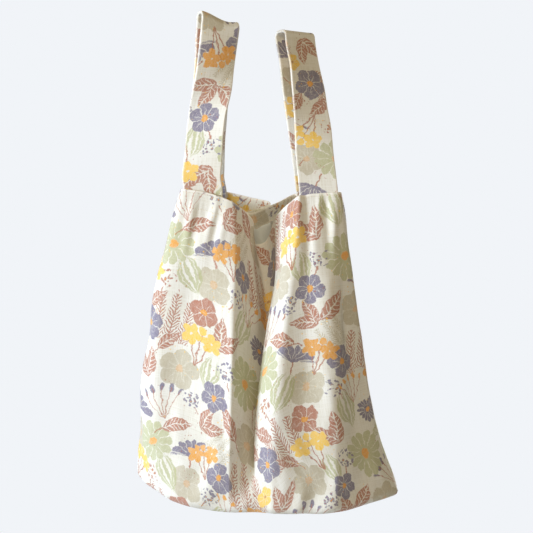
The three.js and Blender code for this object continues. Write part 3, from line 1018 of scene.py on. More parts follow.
@dataclass
class Panel:
    """One printed panel of the body: its wall, turned hem, seam allowances and half of the base."""

    side: Side
    fold: Fold
    node: str
    piece: str
    seed: int
    creases: tuple[Crease, ...] = ()
    base_width: float = 252.0
    base_depth: float = 66.0
    base_corner_radius: float = 20.0
    base_corner_flare: float = 12.0
    flare_power: float = 7.0
    left_swell: float = 12.0
    front_edge_radius: float = 12.0
    side_edge_radius: float = 4.0
    base_flat_width: float = 64.0
    base_left_lift: float = 20.0
    base_right_lift: float = 5.0
    base_seam_share: float = 0.9
    base_twist: float = math.radians(4)
    base_softening: float = 22.0
    cross_seam: float = 0.7
    side_dent: float = 5.0
    side_sway: float = 2.5
    side_sag: float = 5.0
    columns: int = 270
    row_step: float = 2.5
    span_steps: int = 30
    edge_rows: int = 8
    base_rows: int = 16
    rim_rows: int = 4
    allowance: float = 9.0
    allowance_columns: int = 6
    hem_stitch: float = 1.6
    root_stitch: float = 2.0
    thread_lift: float = 0.12
    print_shift: tuple[float, float] = (0.0, 0.0)
    sewn: tuple[Array, ...] = ()

    def outlines(self, t: Array) -> Array:
        """Returns the control points of the outline at each level, with the folds' ends rounded."""
        half = lerp(MOUTH_WIDTH, self.base_width, t) / 2
        left = half + self.left_swell * np.sin(math.pi * t)
        right = half + self.base_corner_flare * t**self.flare_power
        deep = lerp(MOUTH_DEPTH, self.base_depth, t) / 2
        radius = lerp(MOUTH_CORNER_RADIUS, self.base_corner_radius, t)
        belly = at_level(self.fold.belly, t)
        zero = np.zeros_like(t)
        left_belly = belly * at_level(self.fold.left_belly, t)
        right_belly = belly * at_level(self.fold.right_belly, t)
        points = [(-left, zero), (-left, radius - deep), (radius - left, -deep - belly * 0.15),
                  (-left * 0.66, -deep - left_belly)]
        rounding = dict(enumerate(FOLD_POINTS.values(), len(points)))
        for name in FOLD_POINTS:
            behind = at_level(self.fold.behind[name], t)
            points.append((at_level(self.fold.across[name], t) * FREE_HALF, -(deep + belly) * (1 - behind)))
        rolled = right - radius - at_level(self.fold.right_roll, t)
        corner = (right * at_level(self.fold.right_share, t), -deep - right_belly)
        crest = points[-1]
        hollow = at_level(self.fold.hollow, t)
        points.append(((crest[0] + corner[0]) / 2, (crest[1] + corner[1]) / 2 + hollow))
        rounding[len(points)] = CORNER_TURN
        points += [corner, (rolled, -deep - belly * 0.15), (right, radius - deep), (right, zero)]
        drops = [-drop * (1 - t) for drop in self.fold.droop]
        grid = np.stack([np.stack([x, y, z], -1) for (x, y), z in zip(points, drops)], axis=1)
        turn = at_level(self.fold.turn, t)[:, None]
        rounded = []
        for i in range(len(points)):
            if i not in rounding:
                rounded.append(grid[:, i])
                continue
            along = unit(grid[:, i + 1] - grid[:, i - 1]) * turn * rounding[i]
            rounded += [grid[:, i] - along, grid[:, i] + along]
        return np.stack(rounded, axis=1)

    def _rim_lift(self, x: Array) -> Array:
        """Returns how far the base's rim is lifted above its flat middle, by the place across the bag."""
        flat = self.base_flat_width / 2
        beyond = np.maximum(np.abs(x) - flat, 0) / (self.base_width / 2 - flat)
        return np.where(x < 0, self.base_left_lift, self.base_right_lift) * beyond**2

    def levels(self) -> Array:
        """Returns the levels of the wall's rows, close together at the hem."""
        hem = HEM_WIDTH / BODY_HEIGHT
        step = HEM_STEP / BODY_HEIGHT
        count = round((BODY_HEIGHT - HEM_WIDTH) / self.row_step)
        return np.concatenate([np.linspace(0, hem, 9), np.linspace(hem + step, 1, count)])

    @property
    def wall_rows(self) -> int:
        """How many rows of points the wall has."""
        return len(self.levels())

    def _outward(self, grid: Array) -> Array:
        """Returns the unit normals of a grid of points, out of the cloth's face."""
        normals = unit(np.cross(np.gradient(grid, axis=0), np.gradient(grid, axis=1)))
        return -normals if normals[self.wall_rows // 2, self.columns // 2, 1] > 0 else normals

    def face(self) -> tuple[Array, Array, Array]:
        """Builds the face of the cloth, before the cloth gets its thickness.

        Returns:
            The grid of points, their normals, and each row's level.
        """
        t = self.levels()
        curves = catmull_rom(self.outlines(t), self.span_steps)
        rim = curves[-1:]
        soft = soften(rim[0] * (1, 1, 0), self.base_softening)
        flat = np.gradient(soft, axis=0)
        out = unit(np.stack([flat[:, 1], -flat[:, 0], np.zeros(len(flat))], -1))
        out[0], out[-1] = (-1, 0, 0), (1, 0, 0)
        radii = lerp(self.side_edge_radius, self.front_edge_radius, np.abs(out[:, 1]))
        turns = -BODY_HEIGHT + self._rim_lift(rim[0, :, 0]) + radii
        curves[:, :, 2] += turns[None] * t[:, None]
        rows = [pick(curves, resample(curves, self.columns))]
        rim_places = resample(rim, self.columns)
        under = []
        for k in range(1, self.edge_rows + 1):
            angle = k / self.edge_rows * math.pi / 2
            edge = lerp(rim[0], soft, math.sin(angle) ** 2)
            row = edge - out * radii[:, None] * (1 - math.cos(angle))
            row[:, 2] = turns - radii * math.sin(angle)
            under.append(row)
        inset = under[-1]
        seam = -BODY_HEIGHT + self._rim_lift(inset[:, 0] * self.base_seam_share)
        for k in range(1, self.base_rows + 1):
            f = k / self.base_rows
            row = inset * np.array([lerp(1, self.base_seam_share, f), 1 - f, 1])
            row[:, 2] = lerp(inset[:, 2], seam, f)
            under.append(row)
        under = np.stack(under)
        rows.append(pick(under, np.repeat(rim_places, len(under), axis=0)))
        grid = np.concatenate(rows)
        return grid, self._outward(grid), np.concatenate([t, np.ones(len(under))])

    def cloth_places(self, grid: Array) -> tuple[Array, Array]:
        """Returns the u and v of each grid point, in millimetres of cloth."""
        widths = np.linalg.norm(np.diff(grid, axis=1), axis=-1).sum(axis=1)
        width = float(np.median(widths[: self.wall_rows]))
        u = np.linspace(-width / 2, width / 2, self.columns)
        steps = np.linalg.norm(np.diff(grid, axis=0), axis=-1)
        v = np.concatenate([np.zeros((1, self.columns)), np.cumsum(steps, axis=0)])
        return np.repeat(u[None], len(grid), axis=0), v

    def relief(self, u: Array, v: Array, calm: Array) -> Array:
        """Returns how far wrinkles and creases lift the cloth.

        Args:
            u: The places across the cloth.
            v: The places down the cloth.
            calm: 0 where the cloth has to stay smooth, such as at seams and in tight folds.

        Returns:
            The lift in millimetres.
        """
        body = plateau(v, (14, 60), (285, 330))
        hem = bell(v - HEM_WIDTH + 2, 6.0)
        pulled = bell(v - 30, 26.0) * smooth(0.18, 0.5, np.abs(u) / np.abs(u).max())
        low = plateau(v, (235, 290), (318, 345))
        total = sum(crease.lift(u, v) for crease in self.creases)
        for k, (ripple, share) in enumerate(zip(WALL_RIPPLES, (body, body, hem, pulled, low))):
            total = total + ripple.lift(self.seed + k, u, v) * share
        return total * calm

    def _base_relief(self, u: Array, v: Array) -> Array:
        """Returns the sag of the base, and the cross seam where each side meets it."""
        row = np.arange(len(u))[:, None]
        rim = self.wall_rows + self.edge_rows
        inside = plateau(row, (rim - 2, rim + 6), (len(u) - 8, len(u) - 2))
        sag = BASE_RIPPLE.lift(self.seed + len(WALL_RIPPLES), u, v) * inside
        to_end = np.minimum(u - u.min(), u.max() - u)
        return sag - bell(row - self.wall_rows, 1.3) * (1 - smooth(24, 32, to_end)) * self.cross_seam

    def _slacken(self, grid: Array, t: Array) -> Array:
        """Lets the sides sink in and sway along the side seams, alike on both panels."""
        steps = np.linalg.norm(np.diff(grid, axis=1), axis=-1)
        run = np.concatenate([np.zeros((len(grid), 1)), np.cumsum(steps, axis=1)], axis=1)
        body = plateau(t, (0.02, 0.3), (0.7, 0.98))[:, None]
        sag = self.side_sag * (1 - smooth(0.0, 0.2, t))[:, None]
        for end, sign, phase in ((run, 1.0, 0.4), (run[:, -1:] - run, -1.0, 2.1)):
            near = bell(end, 17.0)
            sway = np.sin(2 * math.pi * (t * 1.35) + phase)[:, None]
            grid[..., 0] += sign * near * body * self.side_dent
            grid[..., 1] += near * body * sway * self.side_sway * -self.side.value
            grid[..., 2] -= near * sag
        return grid

    def _hang(self, points: Array, t: Array) -> Array:
        """Turns rows of points to their side of the bag, twists them and moves them into the frame."""
        sign = self.side.value
        x, z = points[..., 0], points[..., 2]
        y = -sign * points[..., 1] + sign * SEAM_GAP / 2
        angle = -self.base_twist * t[:, None]
        turned_x = x * np.cos(angle) - y * np.sin(angle) + MOUTH_SHIFT
        turned_y = x * np.sin(angle) + y * np.cos(angle)
        return np.stack([turned_x, turned_y, z - STRAP_RISE], -1) * MM

    def _settled(self) -> tuple[Array, ...]:
        """Returns the face as it hangs, with its relief: points, normals, u, v and each row's level."""
        grid, normals, t = self.face()
        u, v = self.cloth_places(grid)
        grid = self._slacken(grid, t)
        bend = np.linalg.norm(np.gradient(normals, axis=1), axis=-1)
        tight = np.clip(blur(smooth(0.05, 0.16, bend), 12) * 1.6, 0, 1)
        ends = smooth(2, 22, u - u.min()) * smooth(2, 22, u.max() - u)
        wall = 1 - smooth(self.wall_rows - 2, self.wall_rows + self.edge_rows, np.arange(len(t)))[:, None]
        relief = self.relief(u, v, (1 - 0.85 * tight) * ends * wall) + self._base_relief(u, v)
        grid = grid + normals * relief[..., None]
        normals = self._outward(grid)
        normals[:, 0], normals[:, -1] = (-1, 0, 0), (1, 0, 0)
        normals[-1] = (0, 0, -1)
        return grid, normals, u, v, t

    def _closed(self, grid: Array, normals: Array, v: Array) -> Array:
        """Returns a closed loop of rows: down the face, up the back, and round the mouth's edge."""
        middle = v.shape[1] // 2
        thick = np.where(v[:, middle] <= HEM_WIDTH + HEM_MARGIN, HEM_THICKNESS, CLOTH)
        inner = grid - normals * thick[:, None, None]
        centre, half = (grid[0] + inner[0]) / 2, (inner[0] - grid[0]) / 2
        rim = []
        for k in range(1, self.rim_rows):
            angle = k / self.rim_rows * math.pi
            rim.append(centre + half * math.cos(angle) + (0, 0, HEM_THICKNESS / 2 * math.sin(angle)))
        return np.concatenate([grid, inner[::-1], np.stack(rim)])

    def build(self, canvas: bpy.types.Material) -> bpy.types.Object:
        """Builds the panel's cloth as one closed shell, with its hem turned in and its seams rolled.

        Args:
            canvas: The printed cloth's material.

        Returns:
            The finished piece.
        """
        self.sewn = self._settled()
        grid, normals, u, v = self._seams(*self.sewn[:4])
        t = self.sewn[4]
        loop = self._closed(grid, normals, v)
        on_rim = np.zeros((self.rim_rows - 1, v.shape[1]))
        points = self._hang(loop, np.concatenate([t, t[::-1], on_rim[:, 0]]))
        reverse = v[::-1] > HEM_WIDTH + HEM_MARGIN
        cloth_u = np.concatenate([u, u[::-1], u[:1] + on_rim])
        cloth_v = np.concatenate([v, np.where(reverse, v[::-1], -v[::-1]), on_rim])
        # Painted highlight, with some wear: a paler band along the mouth's fold and along the inner hem's
        # lower edge
        wear_and_painted_highlight = np.clip(bell(cloth_v, 0.9) + bell(cloth_v + HEM_WIDTH - 0.6, 1.1), 0, 1)
        values = {"reverse": np.concatenate([v * 0, reverse, on_rim]).reshape(-1), "wear_and_painted_highlight": wear_and_painted_highlight.reshape(-1)}
        uv = np.stack([cloth_u + self.print_shift[0], cloth_v + self.print_shift[1]], -1).reshape(-1, 2) * MM
        faces = self._faces(len(grid), len(loop), grid.shape[1])
        obj = make_mesh(self.piece, points.reshape(-1, 3), faces, uv, values, canvas)
        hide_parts(self.node)
        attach(obj, "bag")
        return obj

    def _seams(self, grid: Array, normals: Array, u: Array, v: Array) -> list[Array]:
        """Rolls the side edges inwards and adds the seam allowances behind them.

        Args:
            grid: The face's points, whose two edges are moved.
            normals: Their normals.
            u: Their places across the cloth.
            v: Their places down the cloth.

        Returns:
            The same four, with the allowances' columns before and after them.
        """
        base = len(grid) - self.base_rows - self.edge_rows
        taper = 1 - smooth(base - 10, base, np.arange(len(grid)))
        parts = [[grid], [normals], [u], [v]]
        for end, sign in ((0, 1), (-1, -1)):
            inward = np.array([sign, 0.0, 0.0])
            edge = grid[:, end].copy()
            grid[:, end] += inward * 0.7 + (0, -0.1, 0)
            grid[:, end + sign] += inward * 0.15
            shares = (np.arange(self.allowance_columns) + 1)[::-sign] / self.allowance_columns
            reach = 0.8 + (self.allowance * taper + 0.15)[:, None] * shares
            points = edge[:, None] + reach[..., None] * inward + (0, -0.15, 0)
            along = u[:, end, None] - sign * self.allowance * shares
            facing = np.broadcast_to((0.0, 1.0, 0.0), points.shape)
            extras = (points, facing, along, np.broadcast_to(v[:, end, None], along.shape))
            for part, extra in zip(parts, extras):
                part.insert(0 if end == 0 else len(part), extra)
        return [np.concatenate(part, axis=1) for part in parts]

    def _faces(self, rows: int, loop: int, columns: int) -> list[Face]:
        """Joins the closed loop of rows, and closes its two ends.

        Args:
            rows: How many rows the face has.
            loop: How many rows the whole loop has.
            columns: How many points each row has.

        Returns:
            The corner numbers of each face, turned outward.
        """
        faces = grid_faces(loop, columns, rows_meet=True)
        ring = (0, *range(loop - 1, 2 * rows - 2, -1))
        for c, order in ((0, 1), (columns - 1, -1)):
            caps = [(r, 2 * rows - 1 - r, 2 * rows - 2 - r, r + 1) for r in range(rows - 1)]
            faces += [tuple(row * columns + c for row in cap)[::order] for cap in (*caps, ring)]
        return [face[::-1] for face in faces] if self.side is Side.BACK else faces

    def stitch_lines(self) -> list[Array]:
        """Returns the lines of stitches on the face and on the back of the hem.

        Returns:
            The points of each line, in metres: along the hem's lower edge, and across each handle's root.
        """
        grid, normals, _, v, t = self.sewn
        across = np.abs(grid[0, :, 0])
        under_handle = (across > FREE_HALF) & (across < FREE_HALF + STRAP_WIDTH)
        under_handle &= grid[0, :, 1] < -MOUTH_DEPTH * 0.4
        left = np.arange(self.columns) < self.columns // 2
        rows = ((HEM_WIDTH - self.hem_stitch, left | ~left), (self.root_stitch, under_handle & left),
                (self.root_stitch, under_handle & ~left))
        lines = []
        for below, kept in rows:
            row = int(np.argmin(np.abs(v[:, self.columns // 2] - below)))
            inner = grid[row] - normals[row] * HEM_THICKNESS
            for points, out in ((grid[row], normals[row]), (inner, -normals[row])):
                lifted = (points + out * self.thread_lift)[kept]
                lines.append(self._hang(lifted[None], t[row: row + 1])[0])
        return lines


def level_ways(angle: float) -> tuple[Array, Array]:
    """Returns the level directions along an angle and square to it."""
    c, s = math.cos(angle), math.sin(angle)
    return np.array([c, s, 0.0]), np.array([-s, c, 0.0])


@dataclass
class Handle:
    """A handle: a wide band of folded canvas, from its front root over the bar to its back root."""

    piece: str
    node: str
    body: str
    root_sign: float
    top: tuple[float, float]
    yaw: float
    seed: int
    lift: float = 0.0
    print_shift: tuple[float, float] = (0.0, 0.0)
    tuck: float = 14.0
    tuck_steps: int = 8
    bar_width: float = 14.0
    bend: float = 4.0
    wall_lean: float = (92.0 - 66.0) / 2 * 14.0 / 310.0
    leg_steps: int = 90
    bend_steps: int = 7
    across_steps: int = 30
    edge_round: float = 0.9
    fullness: float = 0.82
    bow: float = 1.4
    overturn: float = math.radians(14)
    swing_from: float = 0.42
    swing_to: float = 0.78
    root_slip: float = 0.0
    top_slip: float = 0.0

    @property
    def crown(self) -> Array:
        """The middle of the bar, at the height about which the band bends."""
        return np.array([*self.top, STRAP_RISE - self.bend])

    def _leg(self, sign: int) -> list[tuple[Array, Array, Array]]:
        """Returns the places up one leg, from where it is tucked in up to the bar.

        Args:
            sign: -1 for the front leg and 1 for the back one.

        Returns:
            Each place's point on the inner face, the way across the band and the way out of it.
        """
        root = np.array([self.root_sign * STRAP_ROOT_X, sign * STRAP_ROOT_Y, 0.0])
        root_way, root_out = np.array([1.0, 0.0, 0.0]), np.array([0.0, sign, 0.0])
        tuck = root - root_out * self.wall_lean - (0, 0, self.tuck)
        end = self.crown + level_ways(self.yaw)[1] * (sign * self.bar_width / 2)
        places = [(lerp(tuck, root, k / self.tuck_steps), root_way, root_out) for k in range(self.tuck_steps)]
        for k in range(self.leg_steps + 1):
            f = k / self.leg_steps
            over = float(smooth(0.0, 0.4, f) - smooth(0.45, 0.75, f)) * sign
            way, out = level_ways(self.yaw * float(smooth(self.swing_from, self.swing_to, f))
                                  + self.overturn * over)
            point = lerp(root, end, f) + out * (sign * self.bow * math.sin(math.pi * f))
            point[0] += self.root_slip * float(plateau(f, (0.0, 0.12), (0.3, 1.0)))
            point[0] += self.top_slip * float(smooth(0.5, 1.0, f))
            places.append((point, way, out * sign))
        return places

    def _arch(self, sign: int) -> list[tuple[Array, Array, Array]]:
        """Returns the places round one edge of the bar, from its side to its top.

        Args:
            sign: -1 for the front edge and 1 for the back one.

        Returns:
            Each place's point on the inner face, the way across the band and the way out of it.
        """
        way, over = level_ways(self.yaw)
        centre = self.crown + over * (sign * (self.bar_width / 2 - self.bend)) + (self.top_slip, 0, 0)
        places = []
        for k in range(1, self.bend_steps + 1):
            angle = k / self.bend_steps * math.pi / 2
            out = over * (sign * math.cos(angle)) + (0, 0, math.sin(angle))
            places.append((centre + out * self.bend, way, out))
        return places

    def stations(self) -> list[Array]:
        """Returns the points along the inner face's middle, the ways across it and the ways out of it."""
        places = [*self._leg(-1), *self._arch(-1), *self._arch(1)[::-1], *self._leg(1)[::-1]]
        return [np.array(column) for column in zip(*places)]

    def _section(self) -> tuple[Array, Array]:
        """Returns the band's section: the places across it and up from its middle."""
        half, deep = STRAP_WIDTH / 2, STRAP_THICKNESS / 2
        flat = np.linspace(self.edge_round - half, half - self.edge_round, self.across_steps)
        full = deep * (self.fullness + (1 - self.fullness) * (np.abs(flat) / half) ** 4)
        angle = np.linspace(-math.pi / 2, math.pi / 2, 6)[1:-1]
        edge = half - self.edge_round + self.edge_round * np.cos(angle)
        up = deep * np.sin(angle)
        return np.concatenate([flat, edge, flat[::-1], -edge]), np.concatenate([-full, up, full, up[::-1]])

    def build(self, canvas: bpy.types.Material) -> bpy.types.Object:
        """Args:
            canvas: The printed cloth's material.

        Returns:
            The finished piece.
        """
        at, way, out = self.stations()
        steps = np.concatenate([[0], np.cumsum(np.linalg.norm(np.diff(at, axis=0), axis=-1))])
        across, up = self._section()
        half, length = STRAP_WIDTH / 2, steps[-1]
        s_grid, x_grid = np.meshgrid(steps, across, indexing="ij")
        share, to_bar = x_grid / half, s_grid - length / 2
        free = plateau(s_grid, (8, 40), (length - 40, length - 8)) * (1 - bell(to_bar, 14))
        ripple = Ripple(6, 60.0, math.pi / 2, 0.8).lift(self.seed, x_grid, s_grid)
        cup = Ripple(4, 90.0, math.pi / 2, 0.9).lift(self.seed + 1, x_grid * 0, s_grid) * share**2
        rise = up + STRAP_THICKNESS / 2 + (ripple - cup) * free
        points = at[:, None] + way[:, None] * x_grid[..., None] + out[:, None] * rise[..., None]
        points += (MOUTH_SHIFT, 0, -STRAP_RISE)
        points[..., 2] += self.lift * smooth(-0.6, 1.0, -share) * bell(to_bar, 34)
        rows, ring = x_grid.shape
        caps = (tuple(range(ring)), tuple(range(rows * ring - 1, (rows - 1) * ring - 1, -1)))
        faces = [face[::-1] for face in (*grid_faces(rows, ring, columns_meet=True), *caps)]
        uv = np.stack([x_grid + self.print_shift[0], s_grid + self.print_shift[1]], -1).reshape(-1, 2) * MM
        # Painted highlight, with some wear: a paler band along both edges of the handle
        wear_and_painted_highlight = smooth(half - 2.0, half - 0.5, np.abs(x_grid))
        obj = make_mesh(self.piece, points.reshape(-1, 3) * MM, faces, uv,
                        {"reverse": np.zeros(rows * ring), "wear_and_painted_highlight": wear_and_painted_highlight.reshape(-1)}, canvas)
        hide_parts(self.node)
        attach(obj, self.body)
        log.info("%s: %.0f mm of band, %d faces", self.piece, length, len(faces))
        return obj


@dataclass
class Label:
    """The bare label that hangs from under the back's hem."""

    thickness: float = 0.45
    crease: float = 7.0
    crease_place: float = -0.06
    tip: float = 7.0
    steps: int = 24

    def build(self, ribbon: bpy.types.Material) -> bpy.types.Object:
        """Builds the label in the place of its solid.

        Args:
            ribbon: The label's material.

        Returns:
            The finished piece.
        """
        solid = frame["nodes"]["label"].data
        corners = np.unique(np.round([tuple(p.co) for p in solid.vertices], 6), axis=0)
        joint = next(j for j in frame["joints"] if j["name"] == "label_flap")
        along = -np.array(joint["axis"])
        down = unit(np.array([0, 0, -1.0]) - along * (-along[2]))
        out = np.cross(down, along)
        width, length = np.ptp(corners @ along), np.ptp(corners @ down)
        x, y = np.meshgrid(np.linspace(-0.5, 0.5, self.steps), np.linspace(-0.5, 0.5, self.steps + 8))
        off_crease = np.abs(x - self.crease_place)
        curl = smooth(0.1, 0.5, y) * 1.6 + np.sin(x * 5 + 0.6) * 0.35 - 0.1
        curl = curl + (x * 2) ** 2 * smooth(-0.4, 0.5, y) * 0.4
        curl = curl - off_crease * smooth(-0.5, 0.0, y) * self.crease
        drop = y * length + (0.25 - off_crease) * self.tip * MM * smooth(0.0, 0.5, y)
        mid = corners.mean(axis=0) + x[..., None] * along * width + drop[..., None] * down
        mid = (mid + out * curl[..., None] * MM).reshape(-1, 3)
        half = out * self.thickness * MM / 2
        rows, columns = x.shape
        n = rows * columns
        front = grid_faces(rows, columns)
        back = [tuple(n + corner for corner in face[::-1]) for face in front]
        ids = np.arange(n).reshape(rows, columns)
        edge = [*ids[0], *ids[1:, -1], *ids[-1, -2::-1], *ids[-2:0:-1, 0]]
        sides = [(a, b, n + b, n + a) for a, b in zip(edge, edge[1:] + edge[:1])]
        uv = np.stack([x * width, (y + 0.5) * length], -1).reshape(-1, 2)
        obj = make_mesh("label_ribbon", np.concatenate([mid + half, mid - half]), [*front, *back, *sides],
                        np.concatenate([uv, uv]), None, ribbon)
        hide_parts("label")
        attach(obj, "tag")
        log.info("label_ribbon: %.0f x %.0f mm", width / MM, length / MM)
        return obj


STITCH_NODES = {
    "entry": "NodeGroupInput",
    "curve": "GeometryNodeMeshToCurve",
    "even": "GeometryNodeResampleCurve",
    "points": "GeometryNodeCurveToPoints",
    "ball": "GeometryNodeMeshIcoSphere",
    "halve": "ShaderNodeMath",
    "sizes": "ShaderNodeCombineXYZ",
    "shape": "GeometryNodeTransform",
    "place": "GeometryNodeInstanceOnPoints",
    "real": "GeometryNodeRealizeInstances",
    "dress": "GeometryNodeSetMaterial",
    "leave": "NodeGroupOutput",
}

# What feeds what: a node and its output, then a node and its input
STITCH_LINKS = (
    ("entry", "Geometry", "curve", 0),
    ("curve", 0, "even", "Curve"),
    ("entry", "Pitch", "even", "Length"),
    ("even", 0, "points", 0),
    ("entry", "Stitch Length", "halve", 0),
    ("entry", "Thread Radius", "sizes", 0),
    ("entry", "Thread Radius", "sizes", 1),
    ("halve", 0, "sizes", 2),
    ("ball", "Mesh", "shape", "Geometry"),
    ("sizes", 0, "shape", "Scale"),
    ("points", "Points", "place", "Points"),
    ("points", "Rotation", "place", "Rotation"),
    ("shape", 0, "place", "Instance"),
    ("place", 0, "real", 0),
    ("real", 0, "dress", "Geometry"),
    ("dress", 0, "leave", 0),
)


@dataclass
class Stitching:
    """Rows of machine stitches along a line, made by Geometry Nodes."""

    pitch: float = 2.9
    length: float = 2.2
    radius: float = 0.24

    def _tree(self, thread: bpy.types.Material) -> bpy.types.GeometryNodeTree:
        """Builds the node tree that lays a small thread stitch at each step of a line.

        Args:
            thread: The thread's material.

        Returns:
            The tree, with the stitches' sizes as its named inputs.
        """
        tree = bpy.data.node_groups.new("stitch_row", "GeometryNodeTree")
        for way in ("INPUT", "OUTPUT"):
            tree.interface.new_socket("Geometry", in_out=way, socket_type="NodeSocketGeometry")
        sizes = {"Pitch": self.pitch, "Stitch Length": self.length, "Thread Radius": self.radius}
        for name, value in sizes.items():
            socket = tree.interface.new_socket(name, in_out="INPUT", socket_type="NodeSocketFloat")
            socket.default_value = value * MM
        nodes = {name: tree.nodes.new(kind) for name, kind in STITCH_NODES.items()}
        nodes["even"].mode = "LENGTH"
        nodes["points"].mode = "EVALUATED"
        nodes["halve"].operation = "MULTIPLY"
        nodes["halve"].inputs[1].default_value = 0.5
        nodes["ball"].inputs["Subdivisions"].default_value = 1
        nodes["ball"].inputs["Radius"].default_value = 1.0
        nodes["dress"].inputs["Material"].default_value = thread
        for source, output, target, socket in STITCH_LINKS:
            tree.links.new(nodes[source].outputs[output], nodes[target].inputs[socket])
        return tree

    def build(self, name: str, body: str, slot: str, lines: list[Array], thread: bpy.types.Material
              ) -> bpy.types.Object:
        """Sews along the lines.

        Args:
            name: The piece's name.
            body: The body that it rides on.
            slot: The record's material slot. It is not used.
            lines: The lines' points, in metres.
            thread: The thread's material.

        Returns:
            The stitches as one plain mesh.
        """
        points, edges = [], []
        for line in lines:
            start = len(points)
            points += [tuple(p) for p in line]
            edges += [(start + i, start + i + 1) for i in range(len(line) - 1)]
        mesh = bpy.data.meshes.new(name)
        mesh.from_pydata(points, edges, [])
        path = add_object(name + "_path", mesh)
        tree = self._tree(thread)
        modifier = path.modifiers.new("stitches", "NODES")
        modifier.node_group = tree
        for item in tree.interface.items_tree:
            if item.item_type == "SOCKET" and item.in_out == "INPUT" and item.name == "Pitch":
                modifier[item.identifier] = self.pitch * MM
        graph = bpy.context.evaluated_depsgraph_get()
        made = bpy.data.meshes.new_from_object(path.evaluated_get(graph))
        bpy.data.objects.remove(path)
        made.polygons.foreach_set("use_smooth", [True] * len(made.polygons))
        obj = add_object(name, made)
        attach(obj, body)
        log.info("%s: %d faces", name, len(made.polygons))
        return obj


@dataclass(frozen=True)
class Lamp:
    """A round soft lamp that faces the middle of the bag: its place and size in metres, and its watts."""

    name: str
    place: tuple[float, float, float]
    size: float
    power: float
    color: tuple[float, float, float]

    def hang(self) -> None:
        """Adds the lamp to the scene."""
        data = bpy.data.lights.new(self.name, "AREA")
        data.shape = "DISK"
        data.size = self.size
        data.energy = self.power
        data.color = self.color
        place = Vector(self.place)
        aim = (place - Vector(BAG_MIDDLE)).to_track_quat("Z", "Y").to_matrix().to_4x4()
        add_object(self.name, data).matrix_world = Matrix.Translation(place) @ aim


BAG_MIDDLE = (0.0, 0.0, -0.25)

# A cool key light at the left, a weak warm fill in front and a light for the back
LAMPS = (
    Lamp("key", (-1.6, -0.82, 0.0), 0.62, 35.0, (0.88, 1.01, 1.2)),
    Lamp("fill", (-0.15, -1.4, 0.5), 0.8, 7.8, (1.0, 0.86, 0.65)),
    Lamp("back", (0.75, 1.65, 0.4), 1.0, 33.0, (1.0, 0.98, 0.94)),
)


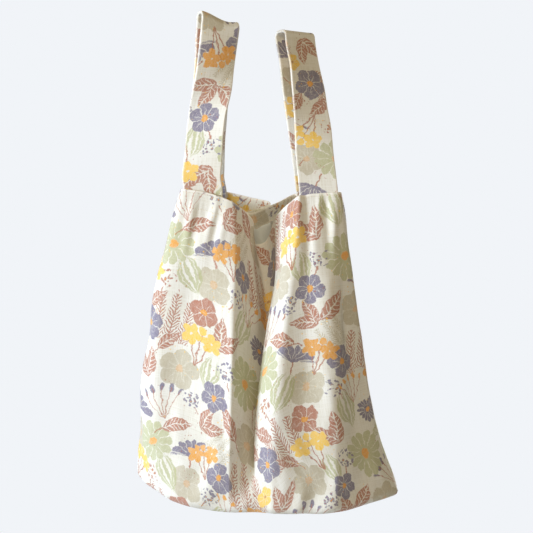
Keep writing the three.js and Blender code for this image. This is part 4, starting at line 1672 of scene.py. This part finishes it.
@dataclass
class Studio:
    """A plain pale room with soft light, and the camera. The camera's lengths are in millimetres."""

    pixels: float = 533.0
    focal_pixels: float = 900.0
    sensor: float = 36.0
    distance: float = 900.0
    camera_x: float = 7.2
    camera_z: float = 8.5
    horizon_row: float = 185.0
    floor_z: float = -1.15
    floor_half: float = 6.0
    backdrop: str = "f1f4f8"
    paper: str = "d8dadd"
    ambient: tuple[float, float, float, float] = (1.0, 0.82, 0.54, 1.0)
    ambient_strength: float = 0.21

    def camera(self) -> None:
        """Places the camera at the photograph's viewing angle."""
        data = bpy.data.cameras.new("camera")
        data.sensor_width = self.sensor
        data.lens = self.sensor * self.focal_pixels / self.pixels
        data.clip_start = 0.01
        data.clip_end = 50.0
        camera = add_object("camera", data)
        pitch = math.atan((self.pixels / 2 - self.horizon_row) / self.focal_pixels)
        place = Vector((self.camera_x, -self.distance, self.camera_z - STRAP_RISE)) * MM
        camera.matrix_world = Matrix.Translation(place) @ Matrix.Rotation(math.pi / 2 - pitch, 4, "X")
        bpy.context.scene.camera = camera

    def floor(self) -> None:
        """Lays the floor, plain pale to the camera and a soft grey to the light."""
        shader = Shader("backdrop_paper")
        rays = {ray.socket.name: ray for ray in shader.outputs("ShaderNodeLightPath")}
        seen = rays["Is Camera Ray"].max(rays["Is Glossy Ray"]).max(rays["Is Transmission Ray"])
        lit = shader.node("ShaderNodeBsdfDiffuse", Color=srgb(self.paper))
        glow = shader.node("ShaderNodeEmission", Color=srgb(self.backdrop))
        shader.end("Material", shader.outputs("ShaderNodeMixShader", seen, lit, glow)[0])
        turn = ((-1, -1), (1, -1), (1, 1), (-1, 1))
        corners = np.array([(x * self.floor_half, y * self.floor_half, self.floor_z) for x, y in turn])
        make_mesh("floor", corners, [(0, 1, 2, 3)], material=shader.material)

    def world(self) -> None:
        """Makes the world: the backdrop's colour to the camera, and a weak warm light to the bag."""
        world = bpy.data.worlds.new("world")
        bpy.context.scene.world = world
        world.use_nodes = True
        nodes = Nodes(world.node_tree)
        nodes.tree.nodes.clear()
        rays = nodes.outputs("ShaderNodeLightPath")
        lit = nodes.node("ShaderNodeBackground", Color=self.ambient, Strength=self.ambient_strength)
        seen = nodes.node("ShaderNodeBackground", Color=srgb(self.backdrop), Strength=1.0)
        nodes.end("World", nodes.outputs("ShaderNodeMixShader", rays[0], lit, seen)[0])

    def build(self) -> None:
        """Makes the camera, the room and the lamps."""
        self.camera()
        self.floor()
        self.world()
        for lamp in LAMPS:
            lamp.hang()
        bpy.context.scene.view_settings.view_transform = "Standard"


def main() -> None:
    """Builds the bag's pieces in order."""
    logging.basicConfig(level=logging.INFO, format="%(name)s: %(message)s")
    Studio().build()
    canvas = Canvas().material("printed_canvas")
    thread = Thread().material()
    panels = [
        Panel(Side.FRONT, FRONT_FOLD, "front_panel", "front_cloth", seed=3, creases=FRONT_CREASES),
        Panel(Side.BACK, BACK_FOLD, "back_panel", "back_cloth", seed=20, creases=BACK_CREASES,
              print_shift=(70.0, 186.0)),
    ]
    for panel in panels:
        panel.build(canvas)
    for panel in panels:
        Stitching().build(f"{panel.piece}_hem_stitches", "bag", "canvas", panel.stitch_lines(), thread)
    handles = [
        Handle("left_handle_band", "strap_left", "handle_left", -1.0, (-41.0, -27.0), math.radians(21), 40,
               lift=9.5, print_shift=(98.0, 2.0), root_slip=-3.4),
        Handle("right_handle_band", "strap_right", "handle_right", 1.0, (37.0, 27.0), math.radians(35), 50,
               print_shift=(20.0, 100.0), top_slip=-3.0, overturn=math.radians(-6), swing_from=0.2,
               swing_to=0.85),
    ]
    for handle in handles:
        handle.build(canvas)
    Label().build(Ribbon().material())


if __name__ == "__main__":
    main()
